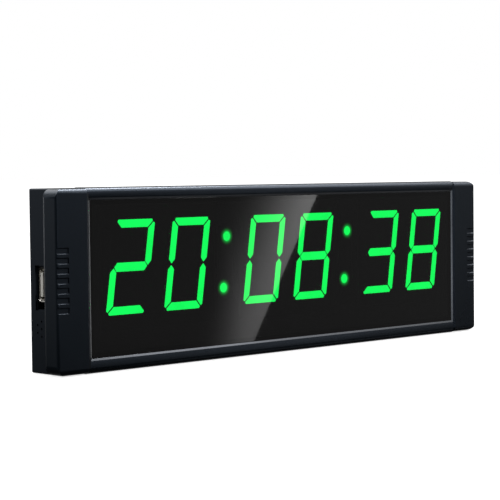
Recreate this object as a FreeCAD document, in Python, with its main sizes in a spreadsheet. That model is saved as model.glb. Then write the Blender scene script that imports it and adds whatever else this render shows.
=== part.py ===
"""Gym interval timer with six seven-segment digits, as a parametric document.

Every sub-part is drawn in the same local directions: X to the right from the middle
of the case, depth back from the front plane, and height up from the middle of the case.
Its Placement then puts the origin at the middle of the case's base.
"""
import FreeCAD, Part
import math
import os
import re

import Sketcher

Vector = FreeCAD.Vector

# Driving dimensions in millimetres, and angles in degrees.
SIZES = {
    # case
    "case_width": 300,
    "case_height": 85,
    "case_depth": 25,
    # front bezel
    "bezel_depth": 9.6,
    "bezel_corner": 4.8,
    "bezel_nose": 2.8,
    "bezel_side_edge": 1.2,
    "bezel_back_edge": 1.1,
    "bezel_back_inset": 0.3,
    "block_height": 84.4,
    "block_front_end": 132.2,
    "block_slope_end": 130.7,
    "bar_set_back": 0.7,
    "bar_half": 131.9,
    "bar_web": 4.0,
    "cavity_half": 143.85,
    "cavity_half_height": 40.05,
    "plate_front": 2.9,
    "plate_back": 4.4,
    # grip grooves in the end blocks
    "groove_length": 6.9,
    "groove_height": 2.9,
    "groove_depth": 0.45,
    "groove_slope": 0.4,
    "groove_pitch": 4.48,
    "groove_middle": 0.75,
    # window and its opening
    "opening_half": 129.8,
    "opening_bottom": -35.6,
    "opening_top": 36.8,
    "bevel_width": 0.9,
    "bevel_depth": 0.5,
    "window_front": 1.2,
    "window_thickness": 1.5,
    "window_gap": 0.1,
    "tape_thickness": 0.2,
    "tape_width": 2.0,
    "tape_inset": 0.2,
    # digit displays
    "display_first": -86.9,
    "display_pitch": 88,
    "display_level": 5.3,
    "housing_width": 72,
    "housing_height": 57,
    "housing_front": 3.0,
    "housing_back": 13.0,
    "housing_clearance": 0.5,
    "digit_pitch": 35.7,
    "digit_width": 24.5,
    "digit_height": 44,
    "digit_slant": 8.5,
    "segment_thickness": 3.8,
    "segment_gap": 0.8,
    "segment_corner": 1.0,
    "segment_shoulder": 1.9,
    "segment_waist": 2.4,
    "segment_tip": 0.3,
    "segment_middle": 2.1,
    "segment_depth": 5.0,
    "pin_radius": 0.3,
    "pin_hole_radius": 0.45,
    "pin_length": 3.1,
    "pin_pitch": 5.08,
    "pin_row_offset": 25.4,
    # colons
    "colon_first": -44.1,
    "colon_pitch": 87.6,
    "colon_width": 10,
    "colon_height": 36,
    "colon_level": 4.85,
    "colon_clearance": 0.3,
    "dot_radius": 2.4,
    "dot_high": 17.4,
    "dot_low": -7.7,
    "dot_lean": 1.25,
    "colon_pin_offset": 14,
    # main board
    "board_front": 13.0,
    "board_back": 14.6,
    "board_half": 134,
    "board_bottom": -30,
    "board_top": 34.5,
    "tab_end": -142.5,
    "tab_bottom": -11,
    "tab_top": 8,
    # posts that carry the board, and their screws
    "post_radius": 2.5,
    "post_side": 130.5,
    "post_inner_left": -42.4,
    "post_inner_right": 45.6,
    "post_high": 31,
    "post_low": -26,
    "post_pilot_radius": 1.25,
    "post_pilot_bottom": 6.2,
    "board_hole_radius": 1.45,
    "board_screw_radius": 1.2,
    "board_screw_length": 8,
    "board_head_radius": 2.3,
    "board_head_height": 1.9,
    "cross_length": 2.6,
    "cross_width": 0.55,
    "cross_depth": 1.1,
    # rear cover
    "cover_half": 146,
    "cover_height": 84.4,
    "cover_wall": 2.0,
    "cover_edge": 0.8,
    "cover_back_edge": 0.7,
    "band_back": 11.7,
    "lip_front": 5.7,
    "lip_gap": 0.15,
    "lip_thickness": 1.2,
    # screw bosses of the two case halves
    "boss_side": 138.5,
    "boss_side_level": 33,
    "boss_lower": 60,
    "boss_lower_level": -34.8,
    "boss_split": 16,
    "bezel_boss_radius": 3.5,
    "cover_boss_radius": 4.4,
    "case_pilot_radius": 1.5,
    "case_pilot_bottom": 8,
    "case_hole_radius": 1.7,
    "case_seat": 21,
    "case_recess_radius": 3.3,
    "case_screw_radius": 1.45,
    "case_screw_length": 12,
    "case_head_radius": 2.75,
    "case_head_height": 2.2,
    # keyholes in the back
    "keyhole_side": 90,
    "keyhole_level": 20,
    "keyhole_radius": 4,
    "keyhole_slot_radius": 2,
    "keyhole_rise": 8,
    # side recess and opening for the socket
    "recess_depth": 1.0,
    "recess_front": 12.7,
    "recess_back": 21.1,
    "recess_bottom": -13.4,
    "recess_top": 7.2,
    "socket_level": -1.65,
    "socket_cut_bottom": -12.9,
    "socket_cut_top": 6.7,
    "socket_cut_depth": 6.6,
    # power socket
    "shell_end": -144.6,
    "shell_length": 14,
    "shell_height": 13.1,
    "shell_depth": 5.7,
    "shell_wall": 0.3,
    "shell_lip": 1.3,
    "tongue_end": -144.2,
    "tongue_height": 11.1,
    "tongue_thickness": 1.8,
    "tongue_offset": 1.25,
    "contact_height": 1.0,
    "contact_thickness": 0.2,
    "contact_length": 7.0,
    "contact_pitch": 2.25,
    # buzzer
    "buzzer_depth": 16.8,
    "buzzer_level": -21.8,
    "buzzer_radius": 4.8,
    "buzzer_end": -143.7,
    "buzzer_length": 8.3,
    "buzzer_ring_inner": 4.9,
    "buzzer_ring_outer": 5.9,
    "buzzer_ring_height": 3.0,
    "sound_hole_radius": 0.55,
    "sound_hole_pitch": 3.45,
    "wire_radius": 0.5,
    "wire_bend": 2.0,
    "wire_depth": 18.4,
    "wire_board": -129.5,
    "wire_level": -20.4,
    "wire_spacing": 2.6,
    # infrared receiver
    "receiver_x": 45.6,
    "receiver_bottom": -21,
    "receiver_width": 5.8,
    "receiver_height": 7,
    "receiver_front": 4.6,
    "receiver_depth": 4.2,
    "receiver_lens": 2.3,
    "receiver_lens_front": 3.3,
    "receiver_lead_pitch": 2.0,
    "lead_size": 0.5,
    # chips on the back of the board
    "chip_lift": 0.2,
    "chip_lead_thickness": 0.2,
    "chip_lead_width": 0.4,
    "chip_lead_run": 0.6,
    "chip_lead_foot": 0.7,
    "controller_x": 0,
    "controller_level": 5,
    "controller_size": 10,
    "controller_height": 1.6,
    "controller_lead_pitch": 0.8,
    "driver_left_x": -64,
    "driver_right_x": 31,
    "driver_level": 5,
    "driver_length": 17.9,
    "driver_width": 7.5,
    "driver_height": 2.4,
    "driver_lead_pitch": 1.27,
    "clock_x": 84,
    "clock_level": -2,
    "clock_length": 10.3,
    "clock_width": 7.5,
    "clock_height": 2.4,
    # crystal
    "crystal_x": 14,
    "crystal_level": -8,
    "crystal_length": 10.5,
    "crystal_width": 4.4,
    "crystal_height": 3.4,
    # coin cell and its holder
    "cell_x": 62,
    "cell_level": 4,
    "cell_radius": 10,
    "cell_thickness": 3.2,
    "cell_floor": 1.2,
    "cell_gap": 0.2,
    "holder_radius": 11.4,
    "holder_height": 3.6,
    "strap_width": 5,
    "strap_thickness": 0.3,
    "strap_half": 12.6,
    # supply parts
    "capacitor_x": -116,
    "capacitor_level": 12,
    "capacitor_pitch": 9,
    "capacitor_radius": 3.15,
    "capacitor_height": 5.4,
    "capacitor_base": 6.6,
    "capacitor_base_height": 0.8,
    "regulator_x": -103,
    "regulator_level": 13,
    "regulator_width": 6.5,
    "regulator_length": 6.1,
    "regulator_height": 2.3,
    "regulator_tab_length": 1.2,
    "regulator_tab_inset": 0.5,
    "regulator_tab_height": 0.7,
    # small parts in rows
    "resistor_length": 2.0,
    "resistor_width": 1.25,
    "resistor_height": 0.5,
    "resistor_first": -84,
    "resistor_pitch": 5.6,
    "resistor_level": -4.5,
    "transistor_length": 2.9,
    "transistor_width": 1.3,
    "transistor_height": 1.0,
    "transistor_first": -90,
    "transistor_pitch": 29,
    "transistor_level": 22,
    # overrun of cutting shapes past the faces that they cut
    "overrun": 2.0,
}

# Digits that light up in each display, left to right.
DISPLAYS = (("hours", "20"), ("minutes", "08"), ("seconds", "38"))
LIT_SEGMENTS = {
    "0": "ABCDEF", "1": "BC", "2": "ABDEG", "3": "ABCDG", "4": "BCFG",
    "5": "ACDFG", "6": "ACDEFG", "7": "ABC", "8": "ABCDEFG", "9": "ABCDFG",
}
COLONS = ("left", "right")
GROOVES = 7
PINS_IN_ROW = 9
DRIVER_LEADS = 14
CLOCK_LEADS = 8
CONTROLLER_LEADS = 11
RESISTORS = 22
TRANSISTORS = 6

document = FreeCAD.newDocument("gym_interval_timer")
sheet = document.addObject("Spreadsheet::Sheet", "sizes")
for row, (alias, size) in enumerate(SIZES.items(), 1):
    sheet.set(f"A{row}", alias)
    sheet.set(f"B{row}", str(size))
    sheet.setAlias(f"B{row}", alias)
document.recompute()

subparts = []


def bound(formula):
    """Return a formula in which each size's name points at its cell."""
    return re.sub(r"[a-z_]+", lambda word: f"sizes.{word[0]}" if word[0] in SIZES else word[0],
                  str(formula))


def value(formula):
    """Return what a formula of sizes comes to, as a number."""
    return float(sheet.evalExpression(bound(formula)))


def bind(thing, **formulas):
    """Bind an object's properties to formulas of the sheet's sizes."""
    for name, formula in formulas.items():
        thing.setExpression(name.replace("__", "."), bound(formula))


def stand(thing, label):
    """Name a sub-part and place it with the origin at the middle of the case's base."""
    thing.Label = label
    bind(thing, Placement__Base__y="-case_depth / 2", Placement__Base__z="case_height / 2")
    subparts.append(thing)
    return thing


# Sketches and the features made from them

PLANES = {"front": "XZ_Plane", "side": "YZ_Plane", "top": "XY_Plane"}


def new_body(name):
    """Return an empty body."""
    return document.addObject("PartDesign::Body", name)


def new_sketch(body, name, view, place):
    """Return a sketch seen from the front, the side or the top, at a depth, X or height."""
    sketch = body.newObject("Sketcher::SketchObject", name)
    plane = next(item for item in body.Origin.OriginFeatures if item.Role == PLANES[view])
    sketch.AttachmentSupport = [(plane, "")]
    sketch.MapMode = "FlatFace"
    offset = f"-({place})" if view == "front" else place
    bind(sketch, AttachmentOffset__Base__z=offset)
    return sketch


def hold(sketch, geometry, end, across, up):
    """Hold one point of a sketch at a place given by two formulas."""
    for kind, formula in (("DistanceX", across), ("DistanceY", up)):
        rule = Sketcher.Constraint(kind, -1, 1, geometry, end, value(formula))
        index = sketch.addConstraint(rule)
        sketch.setExpression(f"Constraints[{index}]", bound(formula))


def draw_polygon(sketch, points):
    """Draw a closed outline through points given as pairs of formulas."""
    first = sketch.GeometryCount
    places = [Vector(value(across), value(up), 0) for across, up in points]
    for index, start in enumerate(places):
        end = places[(index + 1) % len(places)]
        sketch.addGeometry(Part.LineSegment(start, end), False)
    for index, (across, up) in enumerate(points):
        following = first + (index + 1) % len(points)
        sketch.addConstraint(Sketcher.Constraint("Coincident", first + index, 2, following, 1))
        hold(sketch, first + index, 1, across, up)


def draw_rectangle(sketch, left, right, bottom, top):
    """Draw a rectangle between four formulas."""
    draw_polygon(sketch, [(left, bottom), (right, bottom), (right, top), (left, top)])


def draw_circle(sketch, across, up, radius):
    """Draw a circle with its centre and radius given by formulas."""
    centre = Vector(value(across), value(up), 0)
    circle = Part.Circle(centre, Vector(0, 0, 1), value(radius))
    geometry = sketch.addGeometry(circle, False)
    hold(sketch, geometry, 3, across, up)
    index = sketch.addConstraint(Sketcher.Constraint("Radius", geometry, value(radius)))
    sketch.setExpression(f"Constraints[{index}]", bound(radius))


def draw_corner_waste(sketch, across, up, radius, right, top):
    """Draw what a rounded corner leaves out; right and top are 1 or -1 towards the outside."""
    inner = (f"({across}) - ({right}) * {radius}", f"({up}) - ({top}) * {radius}")
    outer = (f"({across}) + ({right}) * overrun", f"({up}) + ({top}) * overrun")
    points = [(across, inner[1]), (outer[0], inner[1]), outer, (inner[0], outer[1]), (inner[0], up)]
    first = sketch.GeometryCount
    places = [Vector(value(u), value(v), 0) for u, v in points]
    for start, end in zip(places, places[1:]):
        sketch.addGeometry(Part.LineSegment(start, end), False)
    middle = Vector(value(inner[0]), value(inner[1]), 0)
    side_angle = 0 if right > 0 else math.pi
    top_angle = math.pi / 2 if top > 0 else -math.pi / 2
    starts_at_side = right * top > 0
    start_angle, end_angle = (side_angle, top_angle) if starts_at_side else (top_angle, side_angle)
    if end_angle < start_angle:
        end_angle += 2 * math.pi
    circle = Part.Circle(middle, Vector(0, 0, 1), value(radius))
    arc = sketch.addGeometry(Part.ArcOfCircle(circle, start_angle, end_angle), False)
    for index in range(len(places) - 2):
        joint = Sketcher.Constraint("Coincident", first + index, 2, first + index + 1, 1)
        sketch.addConstraint(joint)
    last_line = arc - 1
    side_end, top_end = (1, 2) if starts_at_side else (2, 1)
    sketch.addConstraint(Sketcher.Constraint("Coincident", first, 1, arc, side_end))
    sketch.addConstraint(Sketcher.Constraint("Coincident", last_line, 2, arc, top_end))
    for index, (u, v) in enumerate(points[:-1]):
        hold(sketch, first + index, 1, u, v)
    hold(sketch, last_line, 2, *points[-1])
    index = sketch.addConstraint(Sketcher.Constraint("Radius", arc, value(radius)))
    sketch.setExpression(f"Constraints[{index}]", bound(radius))


def is_front_view(sketch):
    """Tell whether a sketch is drawn as seen from the front."""
    return sketch.AttachmentSupport[0][0].Role == PLANES["front"]


def add_pad(body, sketch, length, both_ways=False):
    """Raise a sketch by a length towards the back, the right or the top."""
    pad = body.newObject("PartDesign::Pad", f"{sketch.Name}_pad")
    pad.Profile = sketch
    pad.Midplane = both_ways
    pad.Reversed = is_front_view(sketch) and not both_ways
    bind(pad, Length=length)
    sketch.Visibility = False
    return pad


def add_pocket(body, sketch, length, both_ways=False):
    """Cut a sketch by a length towards the back, the right or the top."""
    pocket = body.newObject("PartDesign::Pocket", f"{sketch.Name}_pocket")
    pocket.Profile = sketch
    pocket.Midplane = both_ways
    pocket.Reversed = not is_front_view(sketch) and not both_ways
    bind(pocket, Length=length)
    sketch.Visibility = False
    return pocket


def round_edges(body, name, radius, chosen):
    """Round the edges of the body's tip that a test picks by their geometry."""
    document.recompute()
    tip = body.Tip
    names = [f"Edge{number}" for number, edge in enumerate(tip.Shape.Edges, 1) if chosen(edge)]
    fillet = body.newObject("PartDesign::Fillet", name)
    fillet.Base = (tip, names)
    bind(fillet, Radius=radius)
    return fillet


# Primitives and groups

def new_box(name, x, depth, level, size):
    """Return a box from its low corner and its size along X, depth and height."""
    box = document.addObject("Part::Box", name)
    bind(box, Length=size[0], Width=size[1], Height=size[2])
    bind(box, Placement__Base__x=x, Placement__Base__y=depth, Placement__Base__z=level)
    return box


def new_cylinder(name, x, depth, level, radius, length, along="depth"):
    """Return a cylinder that starts at a place and runs back in depth, or along X."""
    cylinder = document.addObject("Part::Cylinder", name)
    axis, turn = (Vector(1, 0, 0), -90) if along == "depth" else (Vector(0, 1, 0), 90)
    cylinder.Placement.Rotation = FreeCAD.Rotation(axis, turn)
    bind(cylinder, Radius=radius, Height=length)
    bind(cylinder, Placement__Base__x=x, Placement__Base__y=depth, Placement__Base__z=level)
    return cylinder


def new_fuse(name, pieces):
    """Return the union of several shapes."""
    fuse = document.addObject("Part::MultiFuse", name)
    fuse.Shapes = pieces
    return fuse


def new_cut(name, base, tool):
    """Return a shape with another cut out of it."""
    cut = document.addObject("Part::Cut", name)
    cut.Base = base
    cut.Tool = tool
    return cut


def new_group(name, pieces):
    """Return several solids as one group."""
    group = document.addObject("Part::Compound", name)
    group.Links = pieces
    return group


def new_copies(name, master, places):
    """Return copies of a master shape, moved by places along X, depth and height."""
    document.recompute()
    copies = []
    for place in places:
        copy = master.Shape.copy()
        copy.translate(Vector(*place))
        copies.append(copy)
    group = document.addObject("Part::Feature", name)
    group.Shape = Part.makeCompound(copies)
    return group


def new_shape(name, solids):
    """Return a group of solids that were made from the sheet's sizes."""
    feature = document.addObject("Part::Feature", name)
    feature.Shape = Part.makeCompound(solids)
    return feature


# Places that repeat

DISPLAY_PLACES = [f"display_first + {index} * display_pitch" for index in range(len(DISPLAYS))]
COLON_PLACES = [f"colon_first + {index} * colon_pitch" for index in range(len(COLONS))]
POST_PLACES = [(x, level)
               for x in ("-post_side", "post_inner_left", "post_inner_right", "post_side")
               for level in ("post_low", "post_high")]
BOSS_PLACES = [("-boss_side", "boss_side_level"), ("boss_side", "boss_side_level"),
               ("-boss_side", "-boss_side_level"), ("boss_side", "-boss_side_level"),
               ("-boss_lower", "boss_lower_level"), ("boss_lower", "boss_lower_level")]


# Front bezel: end blocks, lower bars, window opening, plate for the displays, posts and bosses

def draw_plan(sketch):
    """Draw the bezel from above: two blocks with sloped inner ends, joined by a web."""
    half = "case_width / 2"
    right = [("block_slope_end", "bar_web"), ("block_slope_end", "bar_set_back"),
             ("block_front_end", "0"), (half, "0"), (half, "bezel_depth - bezel_back_edge"),
             (f"{half} - bezel_back_inset", "bezel_depth")]
    left = [(f"-({x})", depth) for x, depth in reversed(right)]
    draw_polygon(sketch, right + left)


def draw_bar_profile(sketch):
    """Draw the bars' section from the side, with the thin bevel at the back edge."""
    top = "case_height / 2"
    front = [("bar_set_back", f"-({top})"), ("bar_set_back", top)]
    back_top = [("bezel_depth - bezel_back_edge", top), ("bezel_depth", f"{top} - bezel_back_inset")]
    back_bottom = [(depth, f"-({level})") for depth, level in reversed(back_top)]
    draw_polygon(sketch, front + back_top + back_bottom)


def draw_groove(sketch, level):
    """Draw one grip groove from the side, with sloped upper and lower faces."""
    half = "groove_height / 2"
    out = "overrun * groove_slope / groove_depth"
    draw_polygon(sketch, [("-overrun", f"{level} - {half} - {out}"),
                          ("groove_depth", f"{level} - {half} + groove_slope"),
                          ("groove_depth", f"{level} + {half} - groove_slope"),
                          ("-overrun", f"{level} + {half} + {out}")])


def make_front_bezel():
    """Make the bezel as one moulding."""
    body = new_body("bezel")
    plan = new_sketch(body, "block_plan", "top", "0")
    draw_plan(plan)
    add_pad(body, plan, "block_height", both_ways=True)

    nose = new_sketch(body, "block_nose", "side", "0")
    for top in (1, -1):
        draw_corner_waste(nose, "0", f"{top} * block_height / 2", "bezel_nose", -1, top)
    add_pocket(body, nose, "2 * case_width", both_ways=True)

    bars = new_sketch(body, "bar_profile", "side", "0")
    draw_bar_profile(bars)
    add_pad(body, bars, "2 * bar_half", both_ways=True)
    bar_nose = new_sketch(body, "bar_nose", "side", "0")
    for top in (1, -1):
        draw_corner_waste(bar_nose, "bar_set_back", f"{top} * case_height / 2", "bezel_nose", -1, top)
    add_pocket(body, bar_nose, "2 * bar_half", both_ways=True)

    corners = new_sketch(body, "outline_corners", "front", "0")
    side_edges = new_sketch(body, "side_edges", "top", "0")
    for side in (1, -1):
        draw_corner_waste(side_edges, f"{side} * case_width / 2", "0", "bezel_side_edge", side, -1)
        for top in (1, -1):
            draw_corner_waste(corners, f"{side} * case_width / 2", f"{top} * block_height / 2",
                              "bezel_corner", side, top)
    add_pocket(body, corners, "2 * case_depth", both_ways=True)
    add_pocket(body, side_edges, "2 * case_height", both_ways=True)

    opening = new_sketch(body, "window_opening", "front", "-overrun")
    draw_rectangle(opening, "-opening_half", "opening_half", "opening_bottom", "opening_top")
    add_pocket(body, opening, "overrun + plate_front")
    add_opening_bevel(body)

    cavity = new_sketch(body, "cavity", "front", "plate_back")
    draw_rectangle(cavity, "-cavity_half", "cavity_half", "-cavity_half_height", "cavity_half_height")
    add_pocket(body, cavity, "case_depth")

    cut_outs = new_sketch(body, "display_cut_outs", "front", "0")
    for x in DISPLAY_PLACES:
        draw_cut_out(cut_outs, x, "display_level", "housing_width", "housing_height",
                     "housing_clearance")
    for x in COLON_PLACES:
        draw_cut_out(cut_outs, x, "colon_level", "colon_width", "colon_height", "colon_clearance")
    draw_cut_out(cut_outs, "receiver_x", "receiver_bottom + receiver_height / 2",
                 "receiver_width", "receiver_height", "colon_clearance")
    add_pocket(body, cut_outs, "case_depth")

    grooves = new_sketch(body, "grip_grooves", "side", "-case_width / 2 - overrun")
    far_grooves = new_sketch(body, "far_grip_grooves", "side", "case_width / 2 - groove_length")
    for index in range(GROOVES):
        level = f"groove_middle + {index - (GROOVES - 1) / 2} * groove_pitch"
        draw_groove(grooves, level)
        draw_groove(far_grooves, level)
    add_pocket(body, grooves, "overrun + groove_length")
    add_pocket(body, far_grooves, "overrun + groove_length")

    add_columns(body, "board_post", POST_PLACES, "post_radius", "plate_front", "board_front")
    add_columns(body, "case_boss", BOSS_PLACES, "bezel_boss_radius", "plate_front", "boss_split")
    add_bores(body, "post_pilot", POST_PLACES, "post_pilot_radius", "post_pilot_bottom", "board_front")
    add_bores(body, "case_pilot", BOSS_PLACES, "case_pilot_radius", "case_pilot_bottom", "boss_split")
    stand(body, "front_bezel")


def draw_cut_out(sketch, x, level, width, height, clearance):
    """Draw an opening round a display, larger than it by a clearance."""
    draw_rectangle(sketch, f"{x} - {width} / 2 - {clearance}", f"{x} + {width} / 2 + {clearance}",
                   f"{level} - {height} / 2 - {clearance}", f"{level} + {height} / 2 + {clearance}")


def add_opening_bevel(body):
    """Cut the sloped face round the window opening, wider towards the front."""
    spread = "(window_front + overrun) * bevel_width / bevel_depth"
    bevel = body.newObject("PartDesign::SubtractiveWedge", "opening_bevel")
    bind(bevel, Ymin="-overrun", Ymax="window_front")
    bind(bevel, Xmin=f"-opening_half - {spread}", Xmax=f"opening_half + {spread}")
    bind(bevel, Zmin=f"opening_bottom - {spread}", Zmax=f"opening_top + {spread}")
    bind(bevel, X2min="-opening_half", X2max="opening_half")
    bind(bevel, Z2min="opening_bottom", Z2max="opening_top")


def add_columns(body, name, places, radius, start, end):
    """Raise round columns from one depth to another."""
    sketch = new_sketch(body, name, "front", start)
    for x, level in places:
        draw_circle(sketch, x, level, radius)
    add_pad(body, sketch, f"({end}) - ({start})")


def add_bores(body, name, places, radius, start, end):
    """Bore round holes from one depth to another."""
    sketch = new_sketch(body, name, "front", start)
    for x, level in places:
        draw_circle(sketch, x, level, radius)
    add_pocket(body, sketch, f"({end}) - ({start})")


# Rear cover: a tray with a lip into the bezel, bosses, keyholes and the openings in its side

def draw_frame(sketch, half_width, half_height, thickness):
    """Draw a rectangular frame by its outer half sizes and its thickness."""
    for inset in ("0", thickness):
        width = f"({half_width}) - ({inset})"
        height = f"({half_height}) - ({inset})"
        draw_rectangle(sketch, f"-({width})", width, f"-({height})", height)


def runs_along_depth(edge):
    """Tell whether a straight edge runs from front to back."""
    direction = edge.tangentAt(edge.FirstParameter)
    return abs(direction.y) > 0.99


def lies_at_back(edge):
    """Tell whether an edge lies in the case's back plane."""
    return abs(edge.BoundBox.YMin - SIZES["case_depth"]) < 0.01


def make_rear_cover():
    """Make the rear cover as one moulding."""
    body = new_body("cover")
    tray = new_sketch(body, "cover_outline", "front", "bezel_depth")
    draw_rectangle(tray, "-cover_half", "cover_half", "-cover_height / 2", "cover_height / 2")
    add_pad(body, tray, "case_depth - bezel_depth")
    round_edges(body, "cover_long_edges", "cover_edge", runs_along_depth)
    round_edges(body, "cover_back_edges", "cover_back_edge", lies_at_back)

    inner = ("cover_half - cover_wall", "cover_height / 2 - cover_wall")
    hollow = new_sketch(body, "cover_hollow", "front", "bezel_depth")
    draw_rectangle(hollow, f"-({inner[0]})", inner[0], f"-({inner[1]})", inner[1])
    add_pocket(body, hollow, "case_depth - cover_wall - bezel_depth")

    lip_half = "cavity_half - lip_gap"
    lip_half_height = "cavity_half_height - lip_gap"
    lip = new_sketch(body, "cover_lip", "front", "lip_front")
    draw_frame(lip, lip_half, lip_half_height, "lip_thickness")
    add_band(body, lip_half, lip_half_height)
    add_pad(body, lip, "band_back - lip_front")

    ring = new_sketch(body, "buzzer_ring", "side", "-cover_half + cover_wall / 2")
    draw_circle(ring, "buzzer_depth", "buzzer_level", "buzzer_ring_outer")
    draw_circle(ring, "buzzer_depth", "buzzer_level", "buzzer_ring_inner")
    add_pad(body, ring, "cover_wall / 2 + buzzer_ring_height")

    add_columns(body, "cover_boss", BOSS_PLACES, "cover_boss_radius", "boss_split",
                "case_depth - cover_wall / 2")
    add_bores(body, "cover_screw_hole", BOSS_PLACES, "case_hole_radius", "boss_split", "case_depth")
    add_bores(body, "cover_screw_recess", BOSS_PLACES, "case_recess_radius", "case_seat",
              "case_depth + overrun")
    add_keyholes(body)
    add_socket_openings(body)
    add_sound_holes(body)
    stand(body, "rear_cover")


def add_band(body, lip_half, lip_half_height):
    """Thicken the cover's rim inwards to carry the lip."""
    band = new_sketch(body, "cover_band", "front", "bezel_depth")
    middle_wall = "cover_wall / 2"
    draw_rectangle(band, f"-cover_half + {middle_wall}", f"cover_half - {middle_wall}",
                   f"-cover_height / 2 + {middle_wall}", f"cover_height / 2 - {middle_wall}")
    width = f"{lip_half} - lip_thickness"
    height = f"{lip_half_height} - lip_thickness"
    draw_rectangle(band, f"-({width})", width, f"-({height})", height)
    add_pad(body, band, "band_back - bezel_depth")


def add_keyholes(body):
    """Cut the two keyholes through the back: a round hole with a narrower slot above it."""
    rounds = new_sketch(body, "keyhole_rounds", "front", "case_depth - cover_wall - overrun")
    ends = new_sketch(body, "keyhole_ends", "front", "case_depth - cover_wall - overrun")
    slots = new_sketch(body, "keyhole_slots", "front", "case_depth - cover_wall - overrun")
    for side in (1, -1):
        x = f"{side} * keyhole_side"
        draw_circle(rounds, x, "keyhole_level", "keyhole_radius")
        draw_circle(ends, x, "keyhole_level + keyhole_rise", "keyhole_slot_radius")
        draw_rectangle(slots, f"{x} - keyhole_slot_radius", f"{x} + keyhole_slot_radius",
                       "keyhole_level", "keyhole_level + keyhole_rise")
    for sketch in (rounds, ends, slots):
        add_pocket(body, sketch, "cover_wall + 2 * overrun")


def add_socket_openings(body):
    """Cut the shallow recess in the left side and the socket's opening in its floor."""
    recess = new_sketch(body, "socket_recess", "side", "-cover_half - overrun")
    draw_rectangle(recess, "recess_front", "recess_back", "recess_bottom", "recess_top")
    add_pocket(body, recess, "overrun + recess_depth")
    opening = new_sketch(body, "socket_opening", "side", "-cover_half - overrun")
    middle = "board_back + shell_depth / 2"
    draw_rectangle(opening, f"{middle} - socket_cut_depth / 2", f"{middle} + socket_cut_depth / 2",
                   "socket_cut_bottom", "socket_cut_top")
    add_pocket(body, opening, "2 * overrun + cover_wall")


def add_sound_holes(body):
    """Cut one hole at the buzzer's centre and six round it."""
    sketch = new_sketch(body, "sound_holes", "side", "-cover_half - overrun")
    draw_circle(sketch, "buzzer_depth", "buzzer_level", "sound_hole_radius")
    for index in range(6):
        angle = math.radians(60 * index + 30)
        draw_circle(sketch, f"buzzer_depth + sound_hole_pitch * {math.cos(angle):.4f}",
                    f"buzzer_level + sound_hole_pitch * {math.sin(angle):.4f}", "sound_hole_radius")
    add_pocket(body, sketch, "2 * overrun + cover_wall")


# Window and its tape

def make_window():
    """Make the tinted window and the tape ring that holds it to the plate."""
    body = new_body("window")
    sheet_outline = new_sketch(body, "window_outline", "front", "window_front")
    draw_rectangle(sheet_outline, "-opening_half + window_gap", "opening_half - window_gap",
                   "opening_bottom + window_gap", "opening_top - window_gap")
    add_pad(body, sheet_outline, "window_thickness")
    stand(body, "display_window")

    tape = new_body("tape")
    ring = new_sketch(tape, "tape_outline", "front", "window_front + window_thickness")
    for inset in ("tape_inset", "(tape_inset + tape_width)"):
        draw_rectangle(ring, f"-opening_half + {inset}", f"opening_half - {inset}",
                       f"opening_bottom + {inset}", f"opening_top - {inset}")
    add_pad(tape, ring, "tape_thickness")
    stand(tape, "window_tape")


# Digits: reflector housings, cast segments and pins

def segment_outlines():
    """Return each segment's outline in an upright digit, from its lower left corner."""
    width = value("digit_width")
    height = value("digit_height")
    thick = value("segment_thickness")
    half_gap = value("segment_gap / 2")
    corner = value("segment_corner")
    shoulder = value("segment_shoulder")
    waist = value("segment_waist")
    tip = value("segment_tip")
    middle = height / 2
    upper_left = [(0, middle + waist), (thick / 2, middle + tip), (thick, middle + waist),
                  (thick, height - thick - half_gap), (corner, height - corner - half_gap),
                  (0, height - shoulder)]
    top_left = [(thick + half_gap, height - thick), (corner + half_gap, height - corner),
                (shoulder, height)]
    top = top_left + [(width - x, z) for x, z in reversed(top_left)]
    bar_left = [(thick, middle - value("segment_middle")), (thick / 2 + tip, middle),
                (thick, middle + value("segment_middle"))]
    bar = bar_left + [(width - x, z) for x, z in reversed(bar_left)]
    upper_right = [(width - x, z) for x, z in upper_left]
    return {
        "A": top,
        "B": upper_right,
        "C": [(x, height - z) for x, z in upper_right],
        "D": [(x, height - z) for x, z in top],
        "E": [(x, height - z) for x, z in upper_left],
        "F": upper_left,
        "G": bar,
    }


def segment_solid(outline, digit_x, front, thickness):
    """Return one segment as a leaning prism in the digit at an X."""
    lean = math.tan(math.radians(value("digit_slant")))
    middle = value("digit_height") / 2
    half_width = value("digit_width") / 2
    level = value("display_level")
    points = [Vector(digit_x + x - half_width + (z - middle) * lean, front, level + z - middle)
              for x, z in outline]
    face = Part.Face(Part.makePolygon(points + points[:1]))
    return face.extrude(Vector(0, thickness, 0))


def display_segments(text, display_x):
    """Return the lit and the dark segments of a display that shows two digits."""
    lit = []
    dark = []
    outlines = segment_outlines()
    for index, digit in enumerate(text):
        digit_x = display_x + (index - 0.5) * value("digit_pitch")
        for letter, outline in outlines.items():
            solid = segment_solid(outline, digit_x, value("housing_front"), value("segment_depth"))
            (lit if letter in LIT_SEGMENTS[digit] else dark).append(solid)
    return lit, dark


def pin_places(display_x):
    """Return the places of a display's pins relative to the master pin."""
    places = []
    for row in (-1, 1):
        for index in range(PINS_IN_ROW):
            x = display_x + (index - (PINS_IN_ROW - 1) / 2) * value("pin_pitch")
            places.append((x, 0, value("display_level") + row * value("pin_row_offset")))
    return places


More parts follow.
